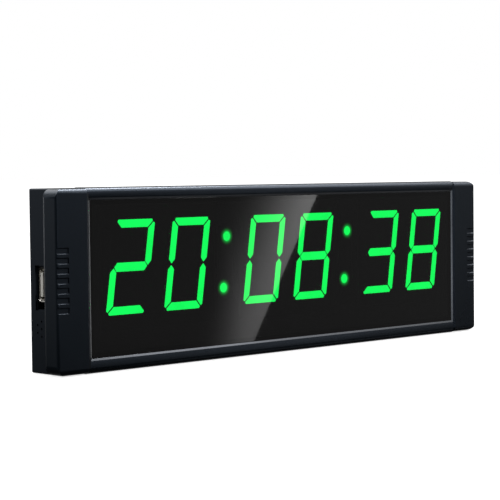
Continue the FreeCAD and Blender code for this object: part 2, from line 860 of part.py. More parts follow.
def make_displays(pin_master):
    """Make each two-digit display and return the places of its pins."""
    places = []
    for (name, text), place in zip(DISPLAYS, DISPLAY_PLACES):
        lit, dark = display_segments(text, value(place))
        stand(new_shape(f"{name}_lit", lit), f"{name}_lit_segments")
        stand(new_shape(f"{name}_dark", dark), f"{name}_dark_segments")
        block = new_box(f"{name}_block", f"{place} - housing_width / 2", "housing_front",
                        "display_level - housing_height / 2",
                        ("housing_width", "housing_back - housing_front", "housing_height"))
        wells = new_shape(f"{name}_wells", lit + dark)
        stand(new_cut(f"{name}_reflector", block, wells), f"{name}_housing")
        pins = pin_places(value(place))
        stand(new_copies(f"{name}_pin_rows", pin_master, pins), f"{name}_pins")
        places += pins
    return places


# Colons

def make_colons(pin_master):
    """Make the two colon lamps and return the places of their pins."""
    places = []
    for name, place in zip(COLONS, COLON_PLACES):
        dots = []
        for index, (level, lean) in enumerate((("dot_high", "dot_lean"), ("dot_low", "-dot_lean"))):
            dots.append(new_cylinder(f"{name}_dot_{index}", f"{place} + ({lean})", "housing_front",
                                     level, "dot_radius", "segment_depth"))
        block = new_box(f"{name}_colon_block", f"{place} - colon_width / 2", "housing_front",
                        "colon_level - colon_height / 2",
                        ("colon_width", "housing_back - housing_front", "colon_height"))
        pair = new_group(f"{name}_dots", dots)
        stand(new_cut(f"{name}_colon_reflector", block, pair), f"{name}_colon_housing")
        stand(new_group(f"{name}_dot_pair", dots), f"{name}_colon_dots")
        for side in (-1, 1):
            level = value("colon_level") + side * value("colon_pin_offset")
            places.append((value(place), 0, level))
    stand(new_copies("colon_pin_pairs", pin_master, places), "colon_pins")
    return places


# Main board

def make_board(pins):
    """Make the board with its tab, its screw holes and its pin holes."""
    body = new_body("board_blank")
    outline = new_sketch(body, "board_outline", "front", "board_front")
    draw_polygon(outline, [("-board_half", "board_bottom"), ("board_half", "board_bottom"),
                           ("board_half", "board_top"), ("-board_half", "board_top"),
                           ("-board_half", "tab_top"), ("tab_end", "tab_top"),
                           ("tab_end", "tab_bottom"), ("-board_half", "tab_bottom")])
    add_pad(body, outline, "board_back - board_front")
    add_bores(body, "board_screw_holes", POST_PLACES, "board_hole_radius", "board_front - overrun",
              "board_back + overrun")
    drill = new_cylinder("pin_drill", "0", "board_front - overrun", "0", "pin_hole_radius",
                         "board_back - board_front + 2 * overrun")
    holes = new_copies("pin_holes", drill, pins)
    stand(new_cut("board_drilled", body, holes), "main_board")


# Screws

def make_screws(label, places, seat, head_radius, head_height, shank_radius, length):
    """Make identical cross-head screws with their heads on a seat, pointing to the front."""
    head = new_cylinder(f"{label}_head", "0", seat, "0", head_radius, head_height)
    shank = new_cylinder(f"{label}_shank", "0", f"{seat} - {length}", "0", shank_radius,
                         f"{length} + {head_height} / 2")
    whole = new_fuse(f"{label}_blank", [head, shank])
    start = f"{seat} + {head_height} - cross_depth"
    flat = new_box(f"{label}_cross_flat", "-cross_length / 2", start, "-cross_width / 2",
                   ("cross_length", "2 * cross_depth", "cross_width"))
    upright = new_box(f"{label}_cross_upright", "-cross_width / 2", start, "-cross_length / 2",
                      ("cross_width", "2 * cross_depth", "cross_length"))
    master = new_cut(f"{label}_master", whole, new_fuse(f"{label}_cross", [flat, upright]))
    moves = [(value(x), 0, value(level)) for x, level in places]
    stand(new_copies(f"{label}_set", master, moves), label)


# Power socket

def make_socket():
    """Make the socket's metal shell, plastic tongue and contacts."""
    low = "socket_level - shell_height / 2"
    tube = new_box("shell_outside", "shell_end", "board_back", low,
                   ("shell_length", "shell_depth", "shell_height"))
    lip = new_box("shell_lip_plate", "shell_end", "board_back", f"{low} - shell_lip",
                  ("shell_wall", "shell_depth", "shell_height + 2 * shell_lip"))
    inside = new_box("shell_inside", "shell_end - overrun", "board_back + shell_wall",
                     f"{low} + shell_wall",
                     ("shell_length + overrun - shell_wall", "shell_depth - 2 * shell_wall",
                      "shell_height - 2 * shell_wall"))
    outside = new_fuse("shell_with_lip", [tube, lip])
    stand(new_cut("shell_tube", outside, inside), "usb_shell")

    tongue_length = "shell_end + shell_length - shell_wall - tongue_end"
    tongue_front = "board_back + shell_depth / 2 + tongue_offset - tongue_thickness / 2"
    tongue = new_box("tongue_bar", "tongue_end", tongue_front, "socket_level - tongue_height / 2",
                     (tongue_length, "tongue_thickness", "tongue_height"))
    stand(new_group("tongue_group", [tongue]), "usb_tongue")
    strips = []
    for index in range(4):
        level = f"socket_level + {index - 1.5} * contact_pitch - contact_height / 2"
        strips.append(new_box(f"contact_{index}", "tongue_end + contact_height",
                              f"{tongue_front} - contact_thickness", level,
                              ("contact_length", "contact_thickness", "contact_height")))
    stand(new_group("contact_row", strips), "usb_contacts")


# Buzzer

def wire_solid(level):
    """Return one wire from the buzzer's back, bent down to the board."""
    radius = value("wire_radius")
    bend = value("wire_bend")
    depth = value("wire_depth")
    end_x = value("wire_board")
    start_x = value("buzzer_end + buzzer_length")
    half = bend * math.sqrt(0.5)
    start = Vector(start_x, depth, level)
    turn_start = Vector(end_x - bend, depth, level)
    turn_middle = Vector(end_x - bend + half, depth - bend + half, level)
    turn_end = Vector(end_x, depth - bend, level)
    end = Vector(end_x, value("board_back"), level)
    path = Part.Wire([Part.LineSegment(start, turn_start).toShape(),
                      Part.Arc(turn_start, turn_middle, turn_end).toShape(),
                      Part.LineSegment(turn_end, end).toShape()])
    section = Part.Wire([Part.Circle(start, Vector(1, 0, 0), radius).toShape()])
    return path.makePipeShell([section], True, True)


def make_buzzer():
    """Make the round buzzer behind the sound holes, with its two wires."""
    case = new_cylinder("buzzer_can", "buzzer_end", "buzzer_depth", "buzzer_level",
                        "buzzer_radius", "buzzer_length", along="x")
    port = new_cylinder("buzzer_port", "buzzer_end - overrun", "buzzer_depth", "buzzer_level",
                        "sound_hole_radius * 2", "overrun + cover_wall", along="x")
    stand(new_cut("buzzer_body", case, port), "buzzer_case")
    first = value("wire_level")
    wires = [wire_solid(first + index * value("wire_spacing")) for index in range(2)]
    stand(new_shape("buzzer_wire_pair", wires), "buzzer_wires")


# Infrared receiver

def make_receiver():
    """Make the remote control's receiver, which looks out through the plate."""
    block = new_box("receiver_block", "receiver_x - receiver_width / 2", "receiver_front",
                    "receiver_bottom", ("receiver_width", "receiver_depth", "receiver_height"))
    lens = new_cylinder("receiver_dome", "receiver_x", "receiver_lens_front",
                        "receiver_bottom + receiver_height / 2", "receiver_lens",
                        "receiver_front + receiver_depth / 2 - receiver_lens_front")
    stand(new_fuse("receiver_body", [block, lens]), "ir_receiver")
    leads = []
    start = "receiver_front + receiver_depth"
    for index in range(3):
        x = f"receiver_x + {index - 1} * receiver_lead_pitch - lead_size / 2"
        leads.append(new_box(f"receiver_lead_{index}", x, start,
                             "receiver_bottom + receiver_height / 2",
                             ("lead_size", f"board_front - ({start})", "lead_size")))
    stand(new_group("receiver_lead_row", leads), "ir_receiver_leads")


# Chips and small parts on the back of the board

def chip_box(name, x, level, length, width, height):
    """Return a chip's case, lifted a little off the board."""
    return new_box(name, f"{x} - {length} / 2", "board_back + chip_lift", f"{level} - {width} / 2",
                   (length, height, width))


def lead_solid(x, level, across, up, height):
    """Return one bent lead that leaves a chip at a place, towards across or up."""
    foot = value("chip_lead_foot")
    run = value("chip_lead_run")
    thick = value("chip_lead_thickness")
    half = value("chip_lead_width") / 2
    board = value("board_back")
    shoulder = board + height
    profile = [(0, shoulder), (run, shoulder), (run, board + thick), (run + foot, board + thick),
               (run + foot, board), (run - thick, board), (run - thick, shoulder - thick),
               (0, shoulder - thick)]
    side = Vector(abs(up) * half, 0, abs(across) * half)
    points = [Vector(x + across * out, depth, level + up * out) - side for out, depth in profile]
    face = Part.Face(Part.makePolygon(points + points[:1]))
    return face.extrude(side * 2)


def lead_rows(x, level, width, height, count, pitch, upright=True):
    """Return two rows of leads along the long sides of a chip, or along its ends."""
    leads = []
    for index in range(count):
        shift = (index - (count - 1) / 2) * pitch
        for side in (-1, 1):
            if upright:
                leads.append(lead_solid(x + shift, level + side * width / 2, 0, side, height))
            else:
                leads.append(lead_solid(x + side * width / 2, level + shift, side, 0, height))
    return leads


def make_chips():
    """Make the microcontroller, the lamp drivers and the clock chip with their leads."""
    size = "controller_size"
    case = chip_box("controller_case", "controller_x", "controller_level", size, size,
                    "controller_height")
    stand(new_group("controller_group", [case]), "microcontroller")
    middle = value("chip_lift + controller_height / 2")
    leads = []
    for upright in (True, False):
        leads += lead_rows(value("controller_x"), value("controller_level"), value(size), middle,
                           CONTROLLER_LEADS, value("controller_lead_pitch"), upright)
    stand(new_shape("controller_lead_rows", leads), "microcontroller_leads")

    cases = []
    leads = []
    middle = value("chip_lift + driver_height / 2")
    for name in ("driver_left_x", "driver_right_x"):
        cases.append(chip_box(f"{name}_case", name, "driver_level", "driver_length", "driver_width",
                              "driver_height"))
        leads += lead_rows(value(name), value("driver_level"), value("driver_width"), middle,
                           DRIVER_LEADS, value("driver_lead_pitch"))
    stand(new_group("driver_cases", cases), "led_drivers")
    stand(new_shape("driver_lead_rows", leads), "led_driver_leads")

    case = chip_box("clock_case", "clock_x", "clock_level", "clock_length", "clock_width",
                    "clock_height")
    stand(new_group("clock_group", [case]), "clock_chip")
    leads = lead_rows(value("clock_x"), value("clock_level"), value("clock_width"), middle,
                      CLOCK_LEADS, value("driver_lead_pitch"))
    stand(new_shape("clock_lead_rows", leads), "clock_chip_leads")


def make_crystal():
    """Make the crystal's oval metal can."""
    body = new_body("crystal_can")
    outline = new_sketch(body, "crystal_outline", "front", "board_back")
    half = "crystal_length / 2"
    draw_rectangle(outline, f"crystal_x - {half}", f"crystal_x + {half}",
                   "crystal_level - crystal_width / 2", "crystal_level + crystal_width / 2")
    add_pad(body, outline, "crystal_height")
    round_edges(body, "crystal_ends", "crystal_width / 2 - 0.01", runs_along_depth)
    stand(body, "crystal")


def make_cell():
    """Make the coin cell, its holder and the strap that presses on it."""
    rim = new_cylinder("holder_rim", "cell_x", "board_back", "cell_level", "holder_radius",
                       "holder_height")
    well = new_cylinder("holder_well", "cell_x", "board_back + cell_floor", "cell_level",
                        "cell_radius + cell_gap", "holder_height")
    stand(new_cut("holder_ring", rim, well), "battery_holder")
    cell = new_cylinder("cell_can", "cell_x", "board_back + cell_floor", "cell_level",
                        "cell_radius", "cell_thickness")
    stand(new_group("cell_group", [cell]), "coin_cell")

    top = "board_back + cell_floor + cell_thickness"
    strap = new_box("strap_bar", "cell_x - strap_width / 2", top, "cell_level - strap_half",
                    ("strap_width", "strap_thickness", "2 * strap_half"))
    legs = [new_box(f"strap_leg_{name}", "cell_x - strap_width / 2", "board_back", level,
                    ("strap_width", f"{top} + strap_thickness - board_back", "strap_thickness"))
            for name, level in (("low", "cell_level - strap_half"),
                                ("high", "cell_level + strap_half - strap_thickness"))]
    stand(new_fuse("strap", [strap] + legs), "battery_contact")


def make_supply():
    """Make the supply capacitors and the regulator."""
    cans = []
    for index in range(2):
        level = f"capacitor_level - {index} * capacitor_pitch"
        base = new_box(f"capacitor_base_{index}", "capacitor_x - capacitor_base / 2", "board_back",
                       f"{level} - capacitor_base / 2",
                       ("capacitor_base", "capacitor_base_height", "capacitor_base"))
        can = new_cylinder(f"capacitor_can_{index}", "capacitor_x", "board_back", level,
                           "capacitor_radius", "capacitor_height")
        cans.append(new_fuse(f"capacitor_{index}", [base, can]))
    stand(new_group("capacitor_pair", cans), "supply_capacitors")

    body = new_box("regulator_case", "regulator_x - regulator_length / 2", "board_back",
                   "regulator_level - regulator_width / 2",
                   ("regulator_length", "regulator_height", "regulator_width"))
    tab = new_box("regulator_tab", "regulator_x + regulator_length / 2", "board_back",
                  "regulator_level - regulator_width / 2 + regulator_tab_inset",
                  ("regulator_tab_length", "regulator_tab_height",
                   "regulator_width - 2 * regulator_tab_inset"))
    stand(new_fuse("regulator_body", [body, tab]), "regulator")


def make_small_parts():
    """Make the rows of resistors and of switching transistors."""
    chip = new_box("resistor_master", "-resistor_length / 2", "board_back", "-resistor_width / 2",
                   ("resistor_length", "resistor_height", "resistor_width"))
    places = [(value("resistor_first") + index * value("resistor_pitch"), 0,
               value("resistor_level")) for index in range(RESISTORS)]
    clear = [place for place in places if is_clear_of_chips(place[0])]
    stand(new_copies("resistor_row", chip, clear), "resistors")
    chip = new_box("transistor_master", "-transistor_length / 2", "board_back",
                   "-transistor_width / 2",
                   ("transistor_length", "transistor_height", "transistor_width"))
    places = [(value("transistor_first") + index * value("transistor_pitch"), 0,
               value("transistor_level")) for index in range(TRANSISTORS)]
    stand(new_copies("transistor_row", chip, places), "transistors")


def is_clear_of_chips(x):
    """Tell whether a small part at an X stays clear of the crystal, the cell and the clock."""
    taken = (("crystal_x", "crystal_length / 2"), ("cell_x", "holder_radius"),
             ("clock_x", "clock_length / 2"))
    return all(abs(x - value(middle)) > value(half) + value("resistor_length")
               for middle, half in taken)


def check_document():
    """Stop if any object failed, any cut removed nothing, or any sub-part isn't sound."""
    for thing in document.Objects:
        if {"Invalid", "Error"} & set(thing.State):
            raise RuntimeError(f"{thing.Name} is {thing.State}")
        if thing.TypeId in ("PartDesign::Pad", "PartDesign::Pocket") and thing.BaseFeature:
            change = thing.Shape.Volume - thing.BaseFeature.Shape.Volume
            is_right = change > 0 if thing.TypeId == "PartDesign::Pad" else change < 0
            if not is_right:
                raise RuntimeError(f"{thing.Name} changes the volume by {change}")
    for part in subparts:
        if part.Shape.isNull() or not part.Shape.isValid() or not part.Shape.Solids:
            raise RuntimeError(f"{part.Label} is not a sound solid")


def main():
    """Make every sub-part, check the document and write one file for each sub-part."""
    make_front_bezel()
    make_rear_cover()
    make_window()
    pin = new_cylinder("pin_master", "0", "housing_back", "0", "pin_radius", "pin_length")
    pins = make_displays(pin)
    pins += make_colons(pin)
    make_board(pins)
    make_screws("board_screws", POST_PLACES, "board_back", "board_head_radius",
                "board_head_height", "board_screw_radius", "board_screw_length")
    make_screws("cover_screws", BOSS_PLACES, "case_seat", "case_head_radius", "case_head_height",
                "case_screw_radius", "case_screw_length")
    make_socket()
    make_buzzer()
    make_receiver()
    make_chips()
    make_crystal()
    make_cell()
    make_supply()
    make_small_parts()
    document.recompute()
    check_document()
    os.makedirs("parts", exist_ok=True)
    for part in subparts:
        part.Shape.exportStep(f"parts/{part.Label}.step")
    print(len(subparts), "sub-parts written")


main()
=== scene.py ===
"""Gym interval timer: finishes, visible pieces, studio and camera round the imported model."""

import logging
from collections.abc import Callable, Sequence
from dataclasses import dataclass, field
from enum import Enum
from functools import cache, partial
from math import copysign, cos, pi, radians, sin, tan

import bmesh
import bpy
from bmesh.types import BMesh
from bpy.types import Material, Mesh, Node, NodeOutputs, NodeSocket, NodeTree, Object
from mathutils import Matrix, Vector


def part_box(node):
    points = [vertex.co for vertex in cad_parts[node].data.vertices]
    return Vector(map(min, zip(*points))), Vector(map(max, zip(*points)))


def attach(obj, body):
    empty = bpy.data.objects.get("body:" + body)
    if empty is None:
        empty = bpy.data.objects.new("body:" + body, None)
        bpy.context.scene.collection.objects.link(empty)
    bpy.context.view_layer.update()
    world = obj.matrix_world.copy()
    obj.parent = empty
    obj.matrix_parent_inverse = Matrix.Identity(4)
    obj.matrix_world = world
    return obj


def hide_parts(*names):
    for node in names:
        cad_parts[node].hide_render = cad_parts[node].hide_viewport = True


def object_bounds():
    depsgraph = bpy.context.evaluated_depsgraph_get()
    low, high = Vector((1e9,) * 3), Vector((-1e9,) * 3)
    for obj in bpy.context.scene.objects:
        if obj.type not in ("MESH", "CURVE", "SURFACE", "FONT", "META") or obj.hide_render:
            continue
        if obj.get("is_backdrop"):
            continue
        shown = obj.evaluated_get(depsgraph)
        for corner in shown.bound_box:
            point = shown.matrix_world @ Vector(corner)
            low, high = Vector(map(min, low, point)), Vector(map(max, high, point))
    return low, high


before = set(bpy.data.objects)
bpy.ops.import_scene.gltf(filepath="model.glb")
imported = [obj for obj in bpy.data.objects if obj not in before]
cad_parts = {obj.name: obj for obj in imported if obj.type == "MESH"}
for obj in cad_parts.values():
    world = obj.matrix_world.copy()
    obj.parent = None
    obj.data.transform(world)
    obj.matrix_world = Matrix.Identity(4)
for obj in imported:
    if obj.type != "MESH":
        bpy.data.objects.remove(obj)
CAD_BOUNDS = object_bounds()
LOG = logging.getLogger("gym_interval_timer")
MM = 0.001
BODY = "root"
WINDOW_LOW, WINDOW_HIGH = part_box("display_window")
# Points nearer to each other than this are one
WELD = 0.001 * MM
# Degrees below which neighbouring faces are one, and from which an edge is rounded
FLAT_ANGLE, SHARP_ANGLE = 0.2, 32.0
# From how much of its normal a face counts as facing the front
FRONT_SHARE = 0.99
# What most values of a noise texture lie between
NOISE_SPAN = (0.3, 0.7)
LAMP_GREEN = "#00ff5c"
WHITE = (1.0, 1.0, 1.0, 1.0)

Colour = tuple[float, float, float, float]
Box = tuple[Vector, Vector]
Places = Sequence[Sequence[float]]
Feeds = dict[str | int, object] | Sequence[object]
Adder = Callable[..., Node]


# Small helpers


def linear(hex_colour: str) -> Colour:
    """Turn an sRGB hex colour into a linear one.

    Args:
        hex_colour: Six hex digits after a number sign.

    Returns:
        Linear red, green and blue, and an alpha of 1.
    """
    channels = [int(hex_colour[place : place + 2], 16) / 255 for place in (1, 3, 5)]
    curve = [c / 12.92 if c <= 0.04045 else ((c + 0.055) / 1.055) ** 2.4 for c in channels]
    return (*curve, 1.0)


def set_up(thing: object, **settings: object) -> None:
    """Set some of a thing's properties."""
    for name, setting in settings.items():
        setattr(thing, name, setting)


def add_node(tree: NodeTree, kind: str, feeds: Feeds = (), **settings: object) -> Node:
    """Add a node with its settings, and set or link its inputs.

    Args:
        tree: The node tree to add to.
        kind: The node's type name, in which a shader node leaves ShaderNode out.
        feeds: What feeds the inputs, by name or number or else in their order: a value, an
            output socket, or a node, which stands for its first output.
        settings: The node's own properties.

    Returns:
        The new node.
    """
    made = tree.nodes.new(kind if "Node" in kind else f"ShaderNode{kind}")
    set_up(made, **settings)
    for name, feed in feeds.items() if isinstance(feeds, dict) else enumerate(feeds):
        if isinstance(feed, Node):
            feed = feed.outputs[0]
        if isinstance(feed, NodeSocket):
            tree.links.new(feed, made.inputs[name])
        else:
            made.inputs[name].default_value = feed
    return made


def link(source: Node, target: Node, name: str) -> None:
    """Link a node's first output to another node's named input."""
    target.id_data.links.new(source.outputs[0], target.inputs[name])


def blank_material(name: str) -> Material:
    """Return a material with an empty node tree."""
    material = bpy.data.materials.new(name)
    material.use_nodes = True
    material.node_tree.nodes.clear()
    return material


def wear(thing: Object, material: Material) -> None:
    """Give an object one material in place of all that it has."""
    slots = thing.material_slots
    if not slots:
        thing.data.materials.append(material)
    for slot in slots:
        slot.material = material


def mesh_object(name: str, mesh: Mesh) -> Object:
    """Link a mesh to the scene as an object at the origin."""
    thing = bpy.data.objects.new(name, mesh)
    bpy.context.scene.collection.objects.link(thing)
    return thing


def plain_mesh(name: str, points: Places, edges: Sequence = (), faces: Sequence = ()) -> Mesh:
    """Return a mesh of the given points, edges and faces."""
    mesh = bpy.data.meshes.new(name)
    mesh.from_pydata([tuple(point) for point in points], edges, faces)
    return mesh


def finished(work: BMesh, name: str) -> Object:
    """Turn a working mesh into an object.

    Args:
        work: The working mesh, which is freed.
        name: The object's name.

    Returns:
        The object.
    """
    mesh = bpy.data.meshes.new(name)
    work.to_mesh(mesh)
    work.free()
    return mesh_object(name, mesh)


def evaluated_mesh(thing: Object, name: str) -> Object:
    """Turn an object with its modifiers into a plain mesh object and remove the first.

    Args:
        thing: The object that carries the modifiers.
        name: The name of the plain object.

    Returns:
        The plain object.
    """
    bpy.context.view_layer.update()
    graph = bpy.context.evaluated_depsgraph_get()
    mesh = bpy.data.meshes.new_from_object(thing.evaluated_get(graph), depsgraph=graph)
    mesh.name = name
    bpy.data.objects.remove(thing)
    return mesh_object(name, mesh)


def smooth(mesh: Mesh, angle: float = 28.0) -> None:
    """Shade a mesh smooth and leave edges sharper than an angle in degrees sharp."""
    mesh.shade_smooth()
    mesh.set_sharp_from_angle(angle=radians(angle))


def merged(node: str) -> BMesh:
    """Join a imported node's loose triangles into flat faces.

    Args:
        node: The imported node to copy.

    Returns:
        The joined mesh, which the caller frees.
    """
    work = bmesh.new()
    work.from_mesh(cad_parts[node].data)
    bmesh.ops.remove_doubles(work, verts=work.verts, dist=2 * WELD)
    bmesh.ops.dissolve_limit(
        work, angle_limit=radians(FLAT_ANGLE), verts=work.verts, edges=work.edges, delimit=set()
    )
    return work


def solids_of(node: str) -> list[Box]:
    """Find the lowest and the highest corner of each separate solid of a node.

    Args:
        node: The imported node.

    Returns:
        One pair of corners for each solid, from left to right.
    """
    work = merged(node)
    left = set(work.verts)
    boxes = []
    while left:
        reached = [left.pop()]
        solid = []
        while reached:
            vertex = reached.pop()
            solid.append(vertex.co.copy())
            beside = {edge.other_vert(vertex) for edge in vertex.link_edges} & left
            left -= beside
            reached += beside
        boxes.append(tuple(Vector([end(axis) for axis in zip(*solid)]) for end in (min, max)))
    work.free()
    return sorted(boxes, key=lambda box: (round(box[0].x, 5), round(box[0].z, 5)))


def softened_copy(node: str, name: str, width: float) -> Object:
    """Copy a moulding and round its sharp edges a little, as a mould leaves them.

    Args:
        node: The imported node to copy.
        name: The name of the new piece.
        width: How far back from each edge the rounding starts, in metres.

    Returns:
        The new piece, in the node's place.
    """
    source = finished(merged(node), f"{name}_source")
    smooth(source.data)
    return round_edges(source, name, width)


def round_edges(thing: Object, name: str, width: float) -> Object:
    """Round an object's sharp edges and keep its flat faces flat to the light.

    Args:
        thing: The object, which is used up; its live modifiers work first.
        name: The name of the result.
        width: How far back from each edge the rounding starts, in metres.

    Returns:
        The rounded object, as a plain mesh.
    """
    bevel = thing.modifiers.new("edges", "BEVEL")
    set_up(bevel, width=width, segments=2, limit_method="ANGLE", angle_limit=radians(SHARP_ANGLE))
    made = evaluated_mesh(thing, name)
    mark_creases(made.data)
    set_up(made.modifiers.new("flat_faces", "WEIGHTED_NORMAL"), keep_sharp=True, weight=80)
    return evaluated_mesh(made, name)


def mark_creases(mesh: Mesh, least_area: float = 15e-6, angle: float = 10.0) -> None:
    """Shade flat each large face that meets a larger one at a shallow crease.

    Args:
        mesh: The mesh to mark.
        least_area: The area from which a face counts as large, in square metres.
        angle: The angle from which an edge is a crease, in degrees.
    """
    work = bmesh.new()
    work.from_mesh(mesh)
    for edge in work.edges:
        if len(edge.link_faces) == 2 and edge.calc_face_angle() > radians(angle):
            smaller = min(edge.link_faces, key=lambda face: face.calc_area())
            if smaller.calc_area() > least_area:
                smaller.smooth = False
                edge.smooth = False
    work.to_mesh(mesh)
    work.free()


def skin(name: str, rings: list[Places]) -> Object:
    """Join rings of points into one skin that is closed at both ends.

    Args:
        name: The skin's name.
        rings: The rings, each with as many points as the next.

    Returns:
        The skin.
    """
    work = bmesh.new()
    loops = [[work.verts.new(place) for place in ring] for ring in rings]
    for loop, following in zip(loops, loops[1:]):
        for index, corner in enumerate(loop):
            after = (index + 1) % len(loop)
            work.faces.new((corner, loop[after], following[after], following[index]))
    for end in (loops[0], loops[-1]):
        work.faces.new(end)
    bmesh.ops.recalc_face_normals(work, faces=work.faces)
    return finished(work, name)


def lathe(name: str, profile: list[tuple[float, float]], steps: int = 40) -> Object:
    """Turn a profile round the depth axis into a closed solid.

    Args:
        name: The solid's name.
        profile: Radius and depth of each point, from the axis in front to the axis behind.
        steps: How many faces go round.

    Returns:
        The solid, about the origin.
    """
    work = bmesh.new()
    points = [work.verts.new((radius, depth, 0.0)) for radius, depth in profile]
    for pair in zip(points, points[1:]):
        work.edges.new(pair)
    swept = [*work.verts, *work.edges]
    centre, axis = (0.0, 0.0, 0.0), (0.0, 1.0, 0.0)
    bmesh.ops.spin(work, geom=swept, cent=centre, axis=axis, angle=2 * pi, steps=steps)
    bmesh.ops.remove_doubles(work, verts=work.verts, dist=WELD)
    bmesh.ops.recalc_face_normals(work, faces=work.faces)
    return finished(work, name)


def direction(azimuth: float, elevation: float) -> Vector:
    """Turn two angles in degrees into a direction; azimuth runs from +X towards +Y."""
    turn, rise = radians(azimuth), radians(elevation)
    across = cos(rise)
    return Vector((across * cos(turn), across * sin(turn), sin(rise)))


class PieceTree:
    """A Geometry Nodes tree with named inputs that turns a source mesh into a finished piece."""

    def __init__(self, name: str, inputs: dict[str, str]) -> None:
        """Start a tree.

        Args:
            name: The tree's name.
            inputs: The kind of each named input, to which the material is added.
        """
        self.tree = bpy.data.node_groups.new(name, "GeometryNodeTree")
        self.tree.is_modifier = True
        face = self.tree.interface
        for way in ("OUTPUT", "INPUT"):
            face.new_socket("Geometry", in_out=way, socket_type="NodeSocketGeometry")
        self.identifiers = {}
        for label, kind in (inputs | {"Material": "Material"}).items():
            socket = face.new_socket(label, in_out="INPUT", socket_type=f"NodeSocket{kind}")
            self.identifiers[label] = socket.identifier
        self.add: Adder = partial(add_node, self.tree)
        self.given = self.add("NodeGroupInput").outputs

    def end(self, geometry: Node) -> None:
        """Turn instances into mesh, set the material and end the tree."""
        feeds = {
            "Geometry": self.add("GeometryNodeRealizeInstances", (geometry,)),
            "Material": self.given["Material"],
        }
        self.add("NodeGroupOutput", (self.add("GeometryNodeSetMaterial", feeds),))

    def run(
        self, source: Object, name: str, values: dict[str, object], edge: float = 0.0
    ) -> Object:
        """Put the tree on a source object and return the result as a plain mesh.

        Args:
            source: The object that feeds the tree; it is used up.
            name: The name of the result.
            values: A value for each named input.
            edge: How far back the result's edges are rounded, in metres.

        Returns:
            The plain result.
        """
        modifier = source.modifiers.new(name, "NODES")
        modifier.node_group = self.tree
        for label, value in values.items():
            modifier[self.identifiers[label]] = value
        if edge:
            return round_edges(source, name, edge)
        made = evaluated_mesh(source, name)
        smooth(made.data)
        return made


def cast_bar_tree() -> PieceTree:
    """Build the tree that casts resin into outlines: rounded corners, a flat face and a depth.

    Returns:
        A tree whose source is a mesh of closed outlines, drawn flat as seen from the front.
    """
    tree = PieceTree("cast_bars", {"Corner radius": "Float", "Depth": "Float", "Back": "Float"})
    add, given = tree.add, tree.given
    lines = add("GeometryNodeMeshToCurve", (given["Geometry"],))
    rounded = add(
        "GeometryNodeFilletCurve",
        {"Curve": lines, "Count": 3, "Radius": given["Corner radius"], "Limit Radius": True},
        mode="POLY",
    )
    filled = add("GeometryNodeFillCurve", (rounded,), mode="NGONS")
    upward = add("CombineXYZ", {"Z": 1.0})
    raised = add(
        "GeometryNodeExtrudeMesh",
        {"Mesh": filled, "Offset": upward, "Offset Scale": given["Depth"], "Individual": False},
        mode="FACES",
    )
    whole = add("GeometryNodeJoinGeometry")
    for half in (raised, add("GeometryNodeFlipFaces", (filled,))):
        link(half, whole, "Geometry")
    closed = add("GeometryNodeMergeByDistance", {"Geometry": whole, "Distance": WELD})
    place = add("CombineXYZ", {"Y": given["Back"]})
    upright = {"Geometry": closed, "Translation": place, "Rotation": (pi / 2, 0.0, 0.0)}
    tree.end(add("GeometryNodeTransform", upright))
    return tree


def repeat_tree(name: str) -> PieceTree:
    """Build the tree that sets one master piece on every point of its source.

    Args:
        name: The tree's name.

    Returns:
        A tree that takes the master and the most that it is turned about the depth axis.
    """
    tree = PieceTree(name, {"Master": "Object", "Most turn": "Float"})
    add, given = tree.add, tree.given
    master = add("GeometryNodeObjectInfo", (given["Master"],), transform_space="ORIGINAL")
    span = {"Min": 0.0, "Max": given["Most turn"], "Seed": 7}
    angles = add("FunctionNodeRandomValue", span, data_type="FLOAT").outputs
    angle = next(output for output in angles if output.enabled)
    turn = add("FunctionNodeAxisAngleToRotation", {"Axis": (0.0, 1.0, 0.0), "Angle": angle})
    feeds = {"Points": given["Geometry"], "Instance": master.outputs["Geometry"], "Rotation": turn}
    tree.end(add("GeometryNodeInstanceOnPoints", feeds))
    return tree


# Finishes


@dataclass(frozen=True)
class Coat:
    """What every finish is: one surface that varies over the timer's own coordinates."""

    name: str
    # The name of the finish's slot
    slot: str = field(default="", kw_only=True)

    def feeds(self, add: Adder, place: NodeSocket) -> Feeds:
        """Return what feeds the surface's inputs.

        Args:
            add: Adds a node to the material.
            place: Gives the place on the timer.
        """
        raise NotImplementedError

    def material(self) -> Material:
        """Build the material."""
        made = blank_material(self.name)
        add = partial(add_node, made.node_tree)
        place = add("TexCoord").outputs["Object"]
        surface = add("BsdfPrincipled", self.feeds(add, place))
        add("OutputMaterial", (surface,))
        return made


